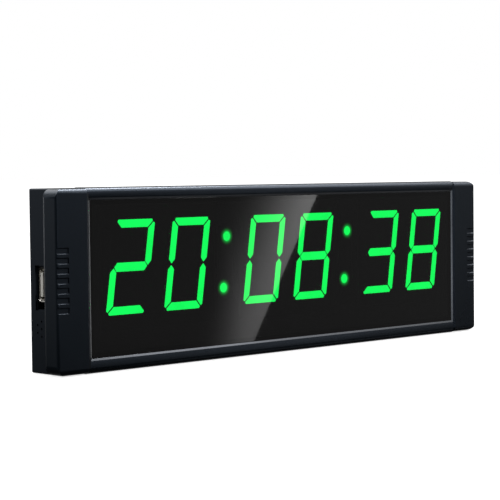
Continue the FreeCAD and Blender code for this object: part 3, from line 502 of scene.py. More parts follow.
@dataclass(frozen=True)
class MouldedPlastic(Coat):
    """Injection-moulded plastic: a spark-eroded texture that breaks up the gloss."""

    colour: str
    roughness: float
    grain: float = 0.45 * MM
    depth: float = 0.012 * MM
    cloud: float = 28 * MM
    shades: tuple[float, float] = (0.86, 1.14)
    mottle: float = 0.03
    ior: float = 1.53
    sheen_tint: str = "#ffffff"
    polished_half_width: float = 0.0
    polished_roughness: float = 0.3
    polished_grain: float = 0.25

    def feeds(self, add: Adder, place: NodeSocket) -> Feeds:
        """Vary colour and gloss a little; the part's middle may be polished more than its ends."""
        fine = {"Vector": place, "Scale": 1 / self.grain, "Detail": 3.0, "Roughness": 0.6}
        grain = add("TexNoise", fine)
        coarse = {"Vector": place, "Scale": 1 / self.cloud, "Detail": 4.0}
        cloud = add("TexNoise", coarse)
        base = linear(self.colour)[:3]
        dark, light = ((*(shade * c for c in base), 1.0) for shade in self.shades)
        tint = add("Mix", {0: cloud, 6: dark, 7: light}, data_type="RGBA")
        span = (self.roughness - self.mottle, self.roughness + self.mottle)
        rough = add("MapRange", (cloud, *NOISE_SPAN, *span))
        strength: object = 1.0
        if self.polished_half_width:
            across = add("SeparateXYZ", (place,))
            off_centre = add("Math", (across,), operation="ABSOLUTE")
            limits = (off_centre, self.polished_half_width)
            is_end = add("Math", limits, operation="GREATER_THAN")
            mixed = {0: is_end, 2: self.polished_roughness, 3: rough}
            rough = add("Mix", mixed, data_type="FLOAT")
            strength = add("MapRange", (is_end, 0.0, 1.0, self.polished_grain, 1.0))
        relief = {"Strength": strength, "Distance": self.depth, "Height": grain}
        return {
            "Base Color": tint.outputs[2],
            "Roughness": rough,
            "IOR": self.ior,
            "Specular Tint": linear(self.sheen_tint),
            "Normal": add("Bump", relief),
        }


@dataclass(frozen=True)
class TintedAcrylic(Coat):
    """Cast acrylic sheet with a grey tint: a polished face over a dark inside."""

    tint: str
    roughness: float = 0.02
    ior: float = 1.49
    wave: float = 60 * MM
    wave_depth: float = 0.02 * MM

    def feeds(self, add: Adder, place: NodeSocket) -> Feeds:
        """Let light through the tint and put faint waves in the polish."""
        waves = add("TexNoise", {"Vector": place, "Scale": 1 / self.wave, "Detail": 1.0})
        relief = {"Strength": 0.4, "Distance": self.wave_depth, "Height": waves}
        return {
            "Base Color": linear(self.tint),
            "Roughness": self.roughness,
            "IOR": self.ior,
            "Transmission Weight": 1.0,
            "Normal": add("Bump", relief),
        }


@dataclass(frozen=True)
class GlowingResin(Coat):
    """Cast resin in front of a light-emitting chip: an even glow, a little brighter in patches."""

    colour: str
    strength: float
    body: str = "#0a1f10"
    patch: float = 11 * MM
    unevenness: float = 0.06
    # The rounded edges send less of the chip's light forwards
    edge_share: float = 0.22
    edge_turn: tuple[float, float] = (-0.5, -0.98)

    def feeds(self, add: Adder, place: NodeSocket) -> Feeds:
        """Let the surface glow, less so where it turns away from the front."""
        noise = {"Vector": place, "Scale": 1 / self.patch, "Detail": 1.0}
        patches = add("TexNoise", noise)
        span = (self.strength * (1 - self.unevenness), self.strength * (1 + self.unevenness))
        level = add("MapRange", (patches, *NOISE_SPAN, *span))
        facing = add("SeparateXYZ", (place.node.outputs["Normal"],)).outputs["Y"]
        share = add("MapRange", (facing, *self.edge_turn, self.edge_share, 1.0))
        return {
            "Base Color": linear(self.body),
            "Roughness": 0.5,
            "Emission Color": linear(self.colour),
            "Emission Strength": add("Math", (level, share), operation="MULTIPLY"),
        }


@dataclass(frozen=True)
class PlatedMetal(Coat):
    """Sheet or turned metal with a plated skin, finely scratched by its forming."""

    colour: str
    roughness: float
    scratch: float = 0.8 * MM
    scratch_depth: float = 0.004 * MM
    stretch: float = 0.15

    def feeds(self, add: Adder, place: NodeSocket) -> Feeds:
        """Draw the scratches along the longest direction of the part's forming."""
        along = add("Mapping", {"Vector": place, "Scale": (self.stretch, 1.0, 1.0)})
        noise = {"Vector": along, "Scale": 1 / self.scratch, "Detail": 4.0}
        lines = add("TexNoise", noise)
        span = (self.roughness * 0.8, self.roughness * 1.25)
        relief = {"Strength": 0.5, "Distance": self.scratch_depth, "Height": lines}
        return {
            "Base Color": linear(self.colour),
            "Metallic": 1.0,
            "Roughness": add("MapRange", (lines, *NOISE_SPAN, *span)),
            "Normal": add("Bump", relief),
        }


@dataclass(frozen=True)
class SolderMask(Coat):
    """Glass-fibre board under green lacquer, with copper tracks that show as a lighter green."""

    colour: str
    track_colour: str
    track_pitch: float = 2.54 * MM

    def feeds(self, add: Adder, place: NodeSocket) -> Feeds:
        """Draw the tracks as the lighter lines of a grid."""
        ground = linear(self.colour)
        grid = {
            "Vector": place,
            "Color1": ground,
            "Color2": ground,
            "Mortar": linear(self.track_colour),
            "Scale": 1 / (4 * self.track_pitch),
            "Mortar Size": 0.012,
        }
        return {"Base Color": add("TexBrick", grid), "Roughness": 0.28, "IOR": 1.5}


class Finish(Enum):
    """The finishes of the timer's pieces."""

    # Black ABS: satin end blocks, bars polished by a smoother part of the mould
    CASE = MouldedPlastic(
        "black_abs_spark_texture", "#0d1216", 0.3, sheen_tint="#cae0ff",
        polished_half_width=131.9 * MM, polished_roughness=0.26, slot="case_plastic",
    )
    COVER = MouldedPlastic(
        "black_abs_cover", "#0e1216", 0.32, sheen_tint="#cae0ff", slot="case_plastic"
    )
    # The slope round the window comes from a polished insert, so it draws thin bright lines
    RIM = MouldedPlastic("polished_abs_rim", "#0d1216", 0.15, depth=0.0, sheen_tint="#eaf2ff")
    # Smoked acrylic: the case's inside stays black behind it and only the lamps show
    WINDOW = TintedAcrylic("smoked_acrylic", "#595959", slot="window_acrylic")
    # Green resin over lit chips: bright flat faces and softer edges
    LIT = GlowingResin("green_lamp_resin", LAMP_GREEN, 11.0, slot="lit_resin")
    # Unlit resin is smoke grey and lies almost unseen in the black reflector
    UNLIT = MouldedPlastic("smoked_lamp_resin", "#0e0f0e", 0.6, slot="dark_resin")
    # Matt black, so that nothing but the lamps shows behind the window
    REFLECTOR = MouldedPlastic("black_reflector_polycarbonate", "#0b0b0c", 0.6)
    FOAM_TAPE = MouldedPlastic("black_foam_tape", "#101011", 0.9, grain=0.3 * MM, depth=0.05 * MM)
    # Bright metals and a white tongue stand out in the socket's dark recess
    NICKEL = PlatedMetal("nickel_plated_steel", "#c9c6c0", 0.24, slot="socket_steel")
    GOLD = PlatedMetal("gold_flash_contacts", "#e8c070", 0.22, slot="contact_gold")
    WHITE_PLASTIC = MouldedPlastic("white_nylon_tongue", "#dcdad2", 0.45, slot="socket_plastic")
    # Dark zinc keeps the screws quiet in the black back
    SCREW = PlatedMetal("black_zinc_screws", "#4a4a4d", 0.38, slot="screw_steel")
    # Green lacquer, black packages and bright leads, as on any such board
    BOARD = SolderMask("green_solder_mask", "#0c3a1e", "#17592f")
    TIN = PlatedMetal("tinned_leads", "#d2d2cc", 0.32)
    CHIP = MouldedPlastic("black_epoxy_packages", "#141415", 0.55, grain=0.25 * MM)
    BUZZER = MouldedPlastic("black_buzzer_plastic", "#121213", 0.5)
    WIRE = MouldedPlastic("red_silicone_wire", "#7a1410", 0.5)
    RECEIVER = MouldedPlastic("infrared_filter_epoxy", "#120c10", 0.15, depth=0.0)
    STEEL_CELL = PlatedMetal("stainless_cell", "#cbcac6", 0.22)
    CAN = PlatedMetal("drawn_aluminium_cans", "#dcdde0", 0.3)

    @cache
    def material(self) -> Material:
        """Return the finish's material, which is built once."""
        return self.value.material()


# The timer


def dress(node: str, finish: Finish) -> None:
    """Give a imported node, which is carried over as it is, its finish."""
    wear(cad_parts[node], finish.material())


def new_piece(piece: Object, node: str, finish: Finish) -> None:
    """Dress a finished piece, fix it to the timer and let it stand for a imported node.

    Args:
        piece: The finished piece, in its place.
        node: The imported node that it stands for.
        finish: Its finish.
    """
    wear(piece, finish.material())
    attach(piece, BODY)
    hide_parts(node)
    LOG.info("%s: %d faces, for %s", piece.name, len(piece.data.polygons), node)


def set_out(
    tree: PieceTree, name: str, master: Object, places: list[Vector], turn: float, finish: Finish
) -> Object:
    """Set a master piece on each of some places.

    Args:
        tree: A tree that repeats a master.
        name: The result's name.
        master: The master piece, which is used up.
        places: Where its origin goes.
        turn: The most it is turned about the depth axis.
        finish: The finish of all.

    Returns:
        All the copies, as one plain mesh.
    """
    points = mesh_object(f"{name}_places", plain_mesh(f"{name}_places", places))
    values = {"Master": master, "Most turn": turn, "Material": finish.material()}
    made = tree.run(points, name, values)
    bpy.data.objects.remove(master)
    return made


@dataclass
class Case:
    """The two black mouldings and the window in its opening."""

    edge: float = 0.15 * MM
    window_edge: float = 0.08 * MM
    play: float = 0.01 * MM
    rim_width: float = 1.05 * MM
    rim_rise: float = 0.55 * MM
    # How much of the slope's normal points to the front
    rim_facing: tuple[float, float] = (0.2, 0.97)
    # A bar's front face: its least area, how near its middle is to the case's, how flat it is
    bar_area: float = 400e-6
    bar_middle: float = 1 * MM
    bar_facing: float = 0.999
    bar_turn: float = 0.16

    def build(self) -> None:
        """Make the shells and the window with softened edges and dress them."""
        for node, name, edge, finish in (
            ("front_bezel", "bezel_moulding", self.edge, Finish.CASE),
            ("rear_cover", "cover_moulding", self.edge, Finish.COVER),
            ("display_window", "acrylic_window", self.window_edge, Finish.WINDOW),
        ):
            piece = softened_copy(node, name, edge)
            new_piece(piece, node, finish)
            if finish is Finish.CASE:
                self._polish_rim(piece)
                self._crown_bars(piece.data)
        dress("window_tape", Finish.FOAM_TAPE)

    def _polish_rim(self, bezel: Object) -> None:
        """Give the slope round the window its own, smoother finish."""
        low, high = WINDOW_LOW, WINDOW_HIGH
        least, most = self.rim_facing
        bezel.data.materials.append(Finish.RIM.material())
        count = 0
        for face in bezel.data.polygons:
            place = face.center
            slopes = least < -face.normal.y < most
            near = low.y - self.rim_rise < place.y < low.y + self.play
            beside = abs(place.x) < high.x + self.rim_width
            between = low.z - self.rim_width < place.z < high.z + self.rim_width
            if slopes and near and beside and between:
                face.material_index = len(bezel.data.materials) - 1
                count += 1
        LOG.info("%s: %d faces round the window polished", bezel.name, count)

    def _crown_bars(self, mesh: Mesh) -> None:
        """Turn the shading of the two bars a little towards the window, as on a crowned face."""
        middle = (WINDOW_LOW.z + WINDOW_HIGH.z) / 2
        normals = [corner.vector.copy() for corner in mesh.corner_normals]
        for face in mesh.polygons:
            across = abs(face.center.x) < self.bar_middle and face.area > self.bar_area
            if not across or face.normal.y > -self.bar_facing:
                continue
            corners = zip(face.loop_indices, face.vertices)
            heights = {loop: mesh.vertices[corner].co.z for loop, corner in corners}
            edge = min(heights.values(), key=lambda height: abs(height - middle))
            crowned = Vector((0.0, -1.0, copysign(self.bar_turn, middle - edge))).normalized()
            for loop, height in heights.items():
                if abs(height - edge) < 10 * self.play:
                    normals[loop] = crowned
        mesh.normals_split_custom_set(normals)


@dataclass
class Displays:
    """Three pairs of seven-segment digits and two colons, cast in resin."""

    # How far behind the foremost point a bar's front face may lie
    face_play: float = 0.05 * MM
    bar_corner: float = 0.3 * MM
    bar_edge: float = 0.28 * MM
    dot_edge: float = 0.7 * MM
    # A painted green glow round each colon dot on its reflector: how far it reaches, how bright it
    # is and how fast it fades
    painted_halo_width: float = 2.9 * MM
    painted_halo_level: float = 4.2
    painted_halo_power: float = 4.0

    def build(self) -> None:
        """Cast the lit bars, the unlit bars and the dots."""
        tree = cast_bar_tree()
        for pair in ("hours", "minutes", "seconds"):
            self._cast(tree, f"{pair}_lit_segments", "glowing_bars", Finish.LIT, self.bar_edge)
            self._cast(tree, f"{pair}_dark_segments", "unlit_bars", Finish.UNLIT, self.bar_edge)
            dress(f"{pair}_housing", Finish.REFLECTOR)
        for side in ("left", "right"):
            node = f"{side}_colon_dots"
            self._cast(tree, node, "glowing_dots", Finish.LIT, self.dot_edge)
            # The colon reflectors get a painted glow round their dots
            wear(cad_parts[f"{side}_colon_housing"], self._painted_halo(side, solids_of(node)))

    def _painted_halo(self, side: str, dots: list[Box]) -> Material:
        """Paint a green glow on a colon's reflector round its dots: a painted halo that stands in
        for the light the dots spill on it.

        Args:
            side: Which colon.
            dots: The box of each of its dots.

        Returns:
            The reflector's finish with the painted halo.
        """
        low, high = dots[0]
        radius = (high.x - low.x) / 2
        made = Finish.REFLECTOR.material().copy()
        made.name = f"{side}_lit_reflector"
        add = partial(add_node, made.node_tree)
        place = add("TexCoord").outputs["Object"]
        away = []
        for low, high in dots:
            offset = add("VectorMath", (place, (low + high) / 2), operation="SUBTRACT")
            flat = add("VectorMath", (offset, (1.0, 0.0, 1.0)), operation="MULTIPLY")
            away.append(add("VectorMath", (flat,), operation="LENGTH").outputs["Value"])
        # The painted halo fades with the distance from the nearest dot and is emitted by the
        # reflector, which is no lamp
        nearest = add("Math", away, operation="MINIMUM")
        fall = add("MapRange", (nearest, radius, radius + self.painted_halo_width, 1.0, 0.0))
        steep = add("Math", (fall, self.painted_halo_power), operation="POWER")
        level = add("Math", (steep, self.painted_halo_level), operation="MULTIPLY")
        surface = next(node for node in made.node_tree.nodes if node.type == "BSDF_PRINCIPLED")
        surface.inputs["Emission Color"].default_value = linear(LAMP_GREEN)
        link(level, surface, "Emission Strength")
        return made

    def _outlines(self, node: str) -> Object:
        """Draw the outlines of a node's front faces flat, as seen from the front."""
        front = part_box(node)[0].y
        work = merged(node)
        points: list[tuple[float, float, float]] = []
        edges: list[tuple[int, int]] = []
        for face in work.faces:
            behind = face.calc_center_median().y - front
            if face.normal.y > -FRONT_SHARE or abs(behind) > self.face_play:
                continue
            first = len(points)
            count = len(face.verts)
            points += [(vertex.co.x, vertex.co.z, 0.0) for vertex in face.verts]
            edges += [(first + index, first + (index + 1) % count) for index in range(count)]
        work.free()
        name = f"{node}_outlines"
        return mesh_object(name, plain_mesh(name, points, edges))

    def _cast(self, tree: PieceTree, node: str, name: str, finish: Finish, edge: float) -> None:
        """Cast the bars of one node.

        Args:
            tree: The tree that casts bars.
            node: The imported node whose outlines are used.
            name: The end of the new piece's name.
            finish: The resin.
            edge: How far back the edges are rounded.
        """
        low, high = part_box(node)
        values = {
            "Corner radius": self.bar_corner,
            "Depth": high.y - low.y,
            "Back": high.y,
            "Material": finish.material(),
        }
        place = node.split("_")[0]
        new_piece(tree.run(self._outlines(node), f"{place}_{name}", values, edge), node, finish)


@dataclass
class PowerSocket:
    """The USB-A socket: a drawn steel shell with a flared lip, a white tongue and contacts."""

    wall: float = 0.3 * MM
    flare: float = 1.3 * MM
    flare_run: float = 1.2 * MM
    corner: float = 0.7 * MM
    corner_steps: int = 5
    tongue_edge: float = 0.2 * MM

    def build(self) -> None:
        """Make the shell, the tongue and the contacts."""
        new_piece(self._shell(), "usb_shell", Finish.NICKEL)
        tongue = softened_copy("usb_tongue", "socket_tongue", self.tongue_edge)
        new_piece(tongue, "usb_tongue", Finish.WHITE_PLASTIC)
        self._contacts()

    def _shell(self) -> Object:
        """Draw the shell's wall as one skin: out along the tube, round the lip and back inside."""
        low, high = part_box("usb_shell")
        half_y = (high.y - low.y) / 2
        half_z = (high.z - low.z) / 2 - self.flare
        centre = (low + high) / 2
        mouth, run, wall, flare = low.x, self.flare_run, self.wall, self.flare
        # Each ring's place along the tube, and how much larger than the tube it is
        stations = (
            (high.x, 0.0, 0.0),
            (mouth + run + wall, 0.0, 0.0),
            (mouth + wall, 0.0, 0.92 * flare),
            (mouth + 0.1 * MM, 0.0, flare),
            (mouth, 0.0, 0.95 * flare),
            (mouth, -0.5 * wall, 0.8 * flare),
            (mouth + 0.3 * run, -wall, 0.4 * flare),
            (mouth + 0.8 * run, -wall, 0.0),
            (mouth + 1.2 * run, -wall, -wall),
            (high.x - wall, -wall, -wall),
        )
        rings = []
        for x, grow_y, grow_z in stations:
            ring = self._ring(half_y + grow_y, half_z + grow_z)
            rings.append([(x, centre.y + y, centre.z + z) for y, z in ring])
        shell = skin("socket_shell", rings)
        smooth(shell.data, angle=40.0)
        return shell

    def _ring(self, half_y: float, half_z: float) -> list[tuple[float, float]]:
        """Return the points of a rectangle with rounded corners, about its middle."""
        radius = min(self.corner, half_y - 0.1 * MM)
        straight_y, straight_z = half_y - radius, half_z - radius
        ring = []
        for quarter, (side_y, side_z) in enumerate(((1, 1), (-1, 1), (-1, -1), (1, -1))):
            for step in range(self.corner_steps + 1):
                angle = pi / 2 * (quarter + step / self.corner_steps)
                y = side_y * straight_y + radius * cos(angle)
                ring.append((y, side_z * straight_z + radius * sin(angle)))
        return ring

    def _contacts(self) -> None:
        """Set four sprung contacts side by side on the tongue."""
        solids = solids_of("usb_contacts")
        low, high = solids[0]
        length, thick = high.x - low.x, high.y - low.y
        half = (high.z - low.z) / 2
        # Shares of the length from the mouth, and of the thickness above the tongue
        spring = (
            (0.0, 0.0), (0.0, 0.4), (0.12, 0.8), (0.3, 1.0), (0.5, 0.8), (1.0, 0.7), (1.0, 0.0)
        )
        outline = [(along * length, -rise * thick) for along, rise in spring]
        sides = [[(x, y, side * half) for x, y in outline] for side in (-1, 1)]
        master = skin("contact_master", sides)
        places = [Vector((start.x, end.y, (start.z + end.z) / 2)) for start, end in solids]
        tree = repeat_tree("contact_row")
        piece = set_out(tree, "socket_contacts", master, places, 0.0, Finish.GOLD)
        new_piece(piece, "usb_contacts", Finish.GOLD)


@dataclass
class Screws:
    """The pan-head cross-recess screws of the case and of the board."""

    cross_width: float = 0.62 * MM
    pitch: float = 0.55 * MM

    def build(self) -> None:
        """Make the two sizes of screw and set them in their places."""
        tree = repeat_tree("screws_in_place")
        sets = {"cover_screws": "case_screw_set", "board_screws": "board_screw_set"}
        for node, name in sets.items():
            solids = solids_of(node)
            low, high = solids[0]
            master = self._master(f"{name}_master", (high.x - low.x) / 2, high.y - low.y)
            places = [
                Vector(((start.x + end.x) / 2, end.y, (start.z + end.z) / 2))
                for start, end in solids
            ]
            piece = set_out(tree, name, master, places, pi / 2, Finish.SCREW)
            new_piece(piece, node, Finish.SCREW)

    def _master(self, name: str, head: float, length: float) -> Object:
        """Turn one screw with its head's top at the origin and cut the cross into it.

        Args:
            name: The screw's name.
            head: The head's radius.
            length: The whole length, head and all.

        Returns:
            The screw, pointing forwards.
        """
        height = 0.8 * head
        shank = 0.52 * head
        root = 0.8 * shank
        # Shares of the head's radius and height, from the middle of its top to its underside
        dome = ((0, 0), (0.45, 0.03), (0.75, 0.16), (0.92, 0.4), (1, 0.72), (1, 0.94), (0.96, 1))
        profile = [(out * head, -down * height) for out, down in dome]
        profile.append((shank, -height))
        depth = -height - 0.4 * MM
        while depth - self.pitch > -length + 0.8 * MM:
            profile += [(shank, depth), (root, depth - 0.45 * self.pitch)]
            depth -= self.pitch
            profile.append((shank, depth))
        profile += [(root, -length + 0.6 * MM), (0.0, -length)]
        screw = lathe(name, profile)
        for turn in (0.0, pi / 2):
            cutter = self._blade(head, height, turn)
            cut = screw.modifiers.new("cross", "BOOLEAN")
            set_up(cut, operation="DIFFERENCE", solver="EXACT", object=cutter)
            screw = evaluated_mesh(screw, name)
            bpy.data.objects.remove(cutter)
        return screw

    def _blade(self, head: float, height: float, turn: float) -> Object:
        """Make one arm of the cross, which narrows towards its bottom.

        Args:
            head: The head's radius.
            height: The head's height.
            turn: How far the arm is turned about the depth axis.

        Returns:
            The arm, to be cut out of the head.
        """
        work = bmesh.new()
        bmesh.ops.create_cube(work, size=1.0)
        for vertex in work.verts:
            deep = vertex.co.y < 0
            reach = 0.3 * head if deep else 0.62 * head
            vertex.co.x = copysign(reach, vertex.co.x)
            vertex.co.z = copysign(self.cross_width / 2, vertex.co.z)
            vertex.co.y = -0.62 * height if deep else 0.1 * height
        turned = Matrix.Rotation(turn, 3, "Y")
        bmesh.ops.rotate(work, verts=work.verts, cent=(0, 0, 0), matrix=turned)
        return finished(work, "cross_blade")


class Electronics:
    """The board and all that it carries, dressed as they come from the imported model."""

    FINISHES = {
        Finish.BOARD: ("main_board",),
        Finish.TIN: ("_pins", "_leads", "crystal", "battery_contact"),
        Finish.CHIP: (
            "microcontroller", "led_drivers", "clock_chip", "regulator", "transistors",
            "resistors", "battery_holder",
        ),
        Finish.BUZZER: ("buzzer_case",),
        Finish.WIRE: ("buzzer_wires",),
        Finish.RECEIVER: ("ir_receiver",),
        Finish.STEEL_CELL: ("coin_cell",),
        Finish.CAN: ("supply_capacitors",),
    }

    def dress(self) -> None:
        """Give every inner node the finish whose words end its name."""
        for finish, endings in self.FINISHES.items():
            dressed = [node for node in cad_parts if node.endswith(endings)]
            for node in dressed:
                dress(node, finish)
            LOG.info("%s: %s", finish.value.name, ", ".join(dressed))


# The studio


def mirrored(place: Vector) -> Vector:
    """Return a place as the window's front mirrors it."""
    return Vector((place.x, 2 * WINDOW_LOW.y - place.y, place.z))


def flat_face(name: str, corners: Places, levels: Sequence[tuple[int, int]] = ()) -> Mesh:
    """Return a mesh of one flat face.

    Args:
        name: The mesh's name.
        corners: The face's corners.
        levels: How far each corner lies along both scales of the face's glow, where it varies.
    """
    mesh = plain_mesh(name, corners, faces=[tuple(range(len(corners)))])
    if levels:
        layer = mesh.uv_layers.new(name="level")
        for loop, place in zip(layer.data, levels):
            loop.uv = place
    return mesh


def level_scales(add: Adder) -> NodeOutputs:
    """Add nodes that give how far a point of a face lies along both scales of its glow."""
    return add("SeparateXYZ", (add("UVMap", uv_map="level"),)).outputs


def white_rays(add: Adder) -> Node:
    """Add nodes that give 1 for camera, glossy and transmission rays."""
    path = add("LightPath").outputs
    direct = (path["Is Camera Ray"], path["Is Glossy Ray"])
    first = add("Math", direct, operation="MAXIMUM")
    return add("Math", (first, path["Is Transmission Ray"]), operation="MAXIMUM")


def hide(thing: Object, *rays: str) -> None:
    """Hide an object from some kinds of rays."""
    set_up(thing, **{f"visible_{kind}": False for kind in rays})


@dataclass
class Portrait:
    """The camera: in front and to the left of the timer, a little above it, with a long lens."""

    place: Vector = Vector((-618.3 * MM, -611.13 * MM, 89.99 * MM))
    yaw: float = radians(44.536)
    pitch: float = radians(2.546)
    roll: float = radians(-0.624)
    lens: float = 122.4
    sensor: float = 36.0
    nearest: float = 0.01
    farthest: float = 100.0

    def build(self) -> None:
        """Create the camera and make it the scene's."""
        ahead = cos(self.pitch)
        forward = Vector((sin(self.yaw) * ahead, cos(self.yaw) * ahead, -sin(self.pitch)))
        level = Vector((cos(self.yaw), -sin(self.yaw), 0.0))
        upright = level.cross(forward)
        right = cos(self.roll) * level + sin(self.roll) * upright
        up = -sin(self.roll) * level + cos(self.roll) * upright
        data = bpy.data.cameras.new("portrait")
        set_up(data, lens=self.lens, sensor_width=self.sensor)
        set_up(data, clip_start=self.nearest, clip_end=self.farthest)
        camera = bpy.data.objects.new("portrait", data)
        turned = Matrix((right, up, -forward)).transposed().to_4x4()
        turned.translation = self.place
        camera.matrix_world = turned
        bpy.context.scene.collection.objects.link(camera)
        bpy.context.scene.camera = camera


@dataclass(frozen=True)
class Glow:
    """A soft patch in the surround, lighter or darker, by its direction from the timer."""

    azimuth: float
    elevation: float
    inner: float
    outer: float
    level: float


@dataclass(frozen=True)
class Softbox:
    """A rectangular lamp behind a diffuser, by its direction and distance from the timer."""

    name: str
    azimuth: float
    elevation: float
    distance: float
    width: float
    height: float
    radiance: float

    def hang(self, middle: Vector) -> None:
        """Hang the lamp so that it points at the timer's middle."""
        data = bpy.data.lights.new(self.name, "AREA")
        power = self.radiance * pi * self.width * self.height
        set_up(data, shape="RECTANGLE", size=self.width, size_y=self.height, energy=power)
        lamp = bpy.data.objects.new(self.name, data)
        outward = direction(self.azimuth, self.elevation)
        lamp.location = middle + self.distance * outward
        lamp.rotation_euler = (-outward).to_track_quat("-Z", "Y").to_euler()
        hide(lamp, "camera")
        bpy.context.scene.collection.objects.link(lamp)


@dataclass(frozen=True)
class LineCard:
    """A narrow card that one slope of the case shows to the camera as a thin light line.

    Its level runs from one end of the slope to the other, and bend holds it low for longer.
    A card by way of the window is one that the slope shows there.
    """

    name: str
    start: Vector
    end: Vector
    normal: Vector
    start_level: float
    end_level: float
    distance: float = 1.2
    half_angle: float = 4.5
    over: float = 4 * MM
    bend: float = 1.0
    by_window: bool = False

    def corners(self, eye: Vector) -> list[Vector]:
        """Return the card's corners: where the slope's ends send the camera's line of sight."""
        along = (self.end - self.start).normalized()
        reach = self.distance * tan(radians(self.half_angle))
        ends = ((self.start - self.over * along, (-1, 1)), (self.end + self.over * along, (1, -1)))
        found = []
        for place, sides in ends:
            bounce = (place - eye).normalized().reflect(self.normal)
            across = bounce.cross(along).normalized()
            found += [place + self.distance * bounce + side * reach * across for side in sides]
        return [mirrored(place) for place in found] if self.by_window else found


@dataclass(frozen=True)
class GlareCard:
    """The bright card whose reflection crosses the window as a soft-sided, slanted glare."""

    # The glare's ends on the window's upper and lower edge, and how far it reaches past them
    top: tuple[float, float] = (-52 * MM, 24 * MM)
    bottom: tuple[float, float] = (-74 * MM, -29.5 * MM)
    over: float = 5 * MM
    distance: float = 0.9
    normal: Vector = Vector((0.63, -0.775, 0.0)).normalized()
    top_level: float = 2.3
    bottom_level: float = 1.0

    def corners(self, eye: Vector) -> list[Vector]:
        """Return the card's corners: where the window sends the camera's line of sight."""
        face = WINDOW_LOW.y
        plane = Vector((0.0, face, 0.0)) + self.normal * self.distance
        eye = mirrored(eye)
        above, below = WINDOW_HIGH.z + self.over, WINDOW_LOW.z - self.over
        outline = [(x, above) for x in self.top] + [(x, below) for x in reversed(self.bottom)]
        found = []
        for x, z in outline:
            ray = (Vector((x, face, z)) - eye).normalized()
            found.append(eye + ray * ((plane - eye).dot(self.normal) / ray.dot(self.normal)))
        return found


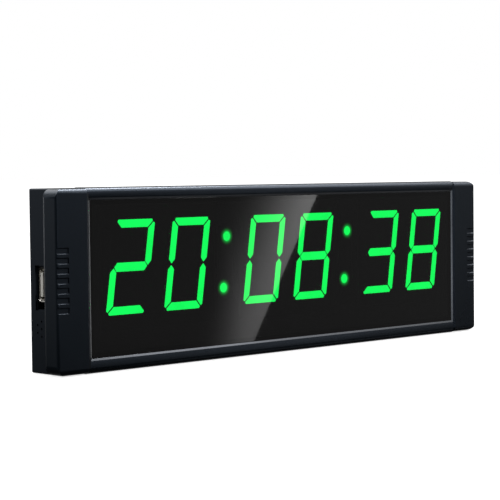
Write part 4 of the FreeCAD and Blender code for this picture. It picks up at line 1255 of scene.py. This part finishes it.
@dataclass
class Studio:
    """White floor and surroundings, a dim surround for the reflections, and soft lamps."""

    eye: Vector
    middle: Vector = Vector((0.0, 0.0, 0.04))
    surround_radius: float = 1.9
    underside_level: float = 0.015
    surround_level: float = 0.18
    upper_level: float = 0.5
    # Elevations between which the surround brightens; its horizon is higher behind the timer
    lower_edge: tuple[float, float] = (-8.3, -1.8)
    upper_edge: tuple[float, float] = (5.2, 8.7)
    horizon_tilt: float = 0.06
    mat_radius: float = 0.3
    mat_level: float = 0.02
    mat_steps: int = 48
    floor_reach: float = 30.0
    floor_glow: float = 0.75
    # The world's level for the rays that don't see it as white
    world_level: float = 0.8
    # The middle of the slope round the window: how far outside and before the window, its lean
    slope_out: float = 0.56 * MM
    slope_rise: float = 0.26 * MM
    slope_lean: float = radians(29.1)
    # The bezel's rounded back edge on the left: its place and which way it faces
    seam: tuple[float, float] = (-149.85 * MM, -3.5 * MM)
    seam_azimuth: float = 164.6
    glare: GlareCard = GlareCard()
    glows: tuple[Glow, ...] = (
        # Dark room behind the camera, which the rounded front edge on the left reflects
        Glow(-158, 0, 30, 55, -0.6),
        # Darker corners beside the window's own reflection
        Glow(-70, -12, 9, 14, -0.18),
        Glow(-22, -12, 9, 14, -0.18),
        # Paler wall far behind, for the side of the case
        Glow(128, 6, 5, 13, 0.11),
        # Light floor far behind on the right, for views of the back
        Glow(45, -18, 15, 38, 0.22),
    )
    lamps: tuple[Softbox, ...] = (
        Softbox("key_softbox", -18, 45, 1.4, 1.0, 0.55, 2.5),
        Softbox("back_softbox", 95, 42, 1.4, 0.9, 0.6, 1.9),
        Softbox("top_softbox", -110, 74, 1.4, 1.0, 0.5, 1.5),
        Softbox("groove_softbox", 3.5, 56.4, 1.4, 0.35, 0.25, 26.0),
        Softbox("socket_softbox", 178, 32, 1.4, 0.4, 0.4, 13.0),
    )

    def build(self) -> None:
        """Build the world, the floor, the surround, the cards and the lamps."""
        self._world()
        self._floor()
        self._surround()
        self._mat()
        self._glare_card()
        for card in self._line_cards():
            self._hang_card(card)
        for lamp in self.lamps:
            lamp.hang(self.middle)

    def _world(self) -> None:
        """Make the surroundings white to the eye."""
        world = bpy.data.worlds.new("studio")
        world.use_nodes = True
        world.node_tree.nodes.clear()
        add = partial(add_node, world.node_tree)
        strength = add("MapRange", (white_rays(add), 0.0, 1.0, self.world_level, 1.0))
        light = add("Background", (WHITE, strength))
        add("OutputWorld", (light,))
        bpy.context.scene.world = world

    def _floor(self) -> None:
        """Lay a pale floor that looks white and still takes the timer's soft shadow."""
        far = self.floor_reach
        corners = ((-far, -far, 0.0), (far, -far, 0.0), (far, far, 0.0), (-far, far, 0.0))
        floor = mesh_object("floor", flat_face("floor", corners))
        material = blank_material("white_floor")
        add = partial(add_node, material.node_tree)
        lit = add("BsdfDiffuse", (linear("#e6e6e6"),))
        strength = add("Math", (white_rays(add), self.floor_glow), operation="MULTIPLY")
        glow = add("Emission", (WHITE, strength))
        add("OutputMaterial", (add("AddShader", (lit, glow)),))
        wear(floor, material)
        hide(floor, "glossy", "transmission", "diffuse")
        floor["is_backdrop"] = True

    def _card(self, mesh: Mesh, level: float, clear: bool = False) -> tuple[Object, Adder, Node]:
        """Make a glowing card that the camera and the shadows don't see.

        Args:
            mesh: Its mesh, which gives it its name.
            level: The level of its glow, where that is even.
            clear: Whether what lies behind it shows through.

        Returns:
            The card, what adds a node to its material, and its emission node.
        """
        card = mesh_object(mesh.name, mesh)
        material = blank_material(mesh.name)
        add = partial(add_node, material.node_tree)
        surface = glow = add("Emission", (WHITE, level))
        if clear:
            surface = add("AddShader", (add("BsdfTransparent"), glow))
        add("OutputMaterial", (surface,))
        wear(card, material)
        hide(card, "camera", "shadow")
        card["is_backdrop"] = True
        return card, add, glow

    def _surround(self) -> None:
        """Hang a round dim tent whose level follows the direction from the timer."""
        work = bmesh.new()
        bmesh.ops.create_uvsphere(work, u_segments=64, v_segments=32, radius=self.surround_radius)
        mesh = bpy.data.meshes.new("surround")
        work.to_mesh(mesh)
        work.free()
        _, add, glow = self._card(mesh, self.surround_level)
        place = add("TexCoord").outputs["Object"]
        outward = add("VectorMath", (place,), operation="NORMALIZE")
        up = (0.0, -self.horizon_tilt, 1.0)
        lower = (sin(radians(edge)) for edge in self.lower_edge)
        upper = (sin(radians(edge)) for edge in self.upper_edge)
        # An axis, the shares of it between which the level changes, and the levels there
        steps = [
            (up, *lower, self.underside_level, self.surround_level),
            (up, *upper, 0.0, self.upper_level - self.surround_level),
        ]
        for patch in self.glows:
            share = (cos(radians(angle)) for angle in (patch.outer, patch.inner))
            steps.append((direction(patch.azimuth, patch.elevation), *share, 0.0, patch.level))
        total: object = 0.0
        for axis, *limits in steps:
            along = add("VectorMath", (outward, axis), operation="DOT_PRODUCT")
            ends = (along.outputs["Value"], *limits)
            step = add("MapRange", ends, interpolation_type="SMOOTHSTEP")
            total = add("Math", (step, total), operation="ADD")
        level = add("Math", (total, self.underside_level), operation="MAXIMUM")
        link(level, glow, "Strength")

    def _mat(self) -> None:
        """Lay a dark mat under the timer that only bounced light sees."""
        turns = [2 * pi * index / self.mat_steps for index in range(self.mat_steps)]
        radius = self.mat_radius
        disc = [(radius * cos(turn), radius * sin(turn), 0.0) for turn in turns]
        mat, _, _ = self._card(flat_face("dark_mat", disc), self.mat_level)
        hide(mat, "glossy", "transmission")

    def _glare_card(self) -> None:
        """Hang the glare's card: it fades to its left, and it is brighter above."""
        plan = self.glare
        mesh = flat_face("glare_card", plan.corners(self.eye), ((0, 1), (1, 1), (1, 0), (0, 0)))
        card, add, glow = self._card(mesh, plan.top_level)
        hide(card, "diffuse")
        across, up, _ = level_scales(add)
        square = add("Math", (across, 2.0), operation="POWER")
        fade = add("MapRange", (square,), interpolation_type="SMOOTHSTEP")
        height = add("MapRange", (up, 0.0, 1.0, plan.bottom_level, plan.top_level))
        level = add("Math", (fade, height), operation="MULTIPLY")
        above = add("Math", (level, self.surround_level), operation="ADD")
        link(above, glow, "Strength")

    def _line_cards(self) -> list[LineCard]:
        """Plan a card for each slope round the window and one for the bezel's back edge."""
        low, high = WINDOW_LOW, WINDOW_HIGH
        out, y = self.slope_out, low.y - self.slope_rise
        bottom, top = low.z - out, high.z + out
        ends = [Vector((x, y, z)) for z in (bottom, top) for x in (low.x - out, high.x + out)]
        lower_left, lower_right, upper_left, upper_right = ends
        seam_foot, seam_head = (Vector((*self.seam, z)) for z in (bottom, top))
        deep, aside = -cos(self.slope_lean), sin(self.slope_lean)
        upwards, downwards = Vector((0, deep, aside)), Vector((0, deep, -aside))
        rightwards, leftwards = Vector((aside, deep, 0)), Vector((-aside, deep, 0))
        behind = direction(self.seam_azimuth, 0)
        return [
            LineCard("bottom_line", lower_left, lower_right, upwards, 3.1, 1.7),
            LineCard(
                "top_line", upper_left, upper_right, downwards, 0.38, 0.38,
                distance=0.35, half_angle=3,
            ),
            LineCard(
                "right_line", lower_right, upper_right, leftwards, 3.8, 3.8,
                distance=1.8, half_angle=3,
            ),
            # The left slope is seen by way of the window, which it meets at a flat angle
            LineCard(
                "left_line", lower_left, upper_left, rightwards, 1.7, 1.7,
                half_angle=3, by_window=True,
            ),
            LineCard("seam_line", seam_foot, seam_head, behind, 0.0, 3.4, bend=3.0),
        ]

    def _hang_card(self, plan: LineCard) -> None:
        """Hang one line card, which adds its light only to the piece that shows it."""
        varies = plan.start_level != plan.end_level
        scales = ((0, 0), (0, 1), (1, 1), (1, 0)) if varies else ()
        mesh = flat_face(plan.name, plan.corners(self.eye), scales)
        card, add, glow = self._card(mesh, plan.start_level, clear=True)
        hide(card, "diffuse")
        lit = bpy.data.collections.new(f"{plan.name}_lights")
        shows = "acrylic_window" if plan.by_window else "bezel_moulding"
        lit.objects.link(bpy.data.objects[shows])
        card.light_linking.receiver_collection = lit
        if varies:
            bent = add("Math", (level_scales(add)["X"], plan.bend), operation="POWER")
            span = (plan.start_level, plan.end_level)
            link(add("MapRange", (bent, 0.0, 1.0, *span)), glow, "Strength")


def write_sizes() -> None:
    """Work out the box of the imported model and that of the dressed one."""
    boxes = {"cad": CAD_BOUNDS, "visual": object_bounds()}
    plain = {name: [list(corner) for corner in box] for name, box in boxes.items()}


def main() -> None:
    """Dress the timer, build the studio and report each piece."""
    logging.basicConfig(level=logging.INFO, format="%(name)s: %(message)s")
    bpy.context.scene.view_settings.view_transform = "Standard"
    portrait = Portrait()
    portrait.build()
    Electronics().dress()
    for assembly in (Displays(), Case(), PowerSocket(), Screws(), Studio(portrait.place)):
        assembly.build()
    write_sizes()


if __name__ == "__main__":
    main()
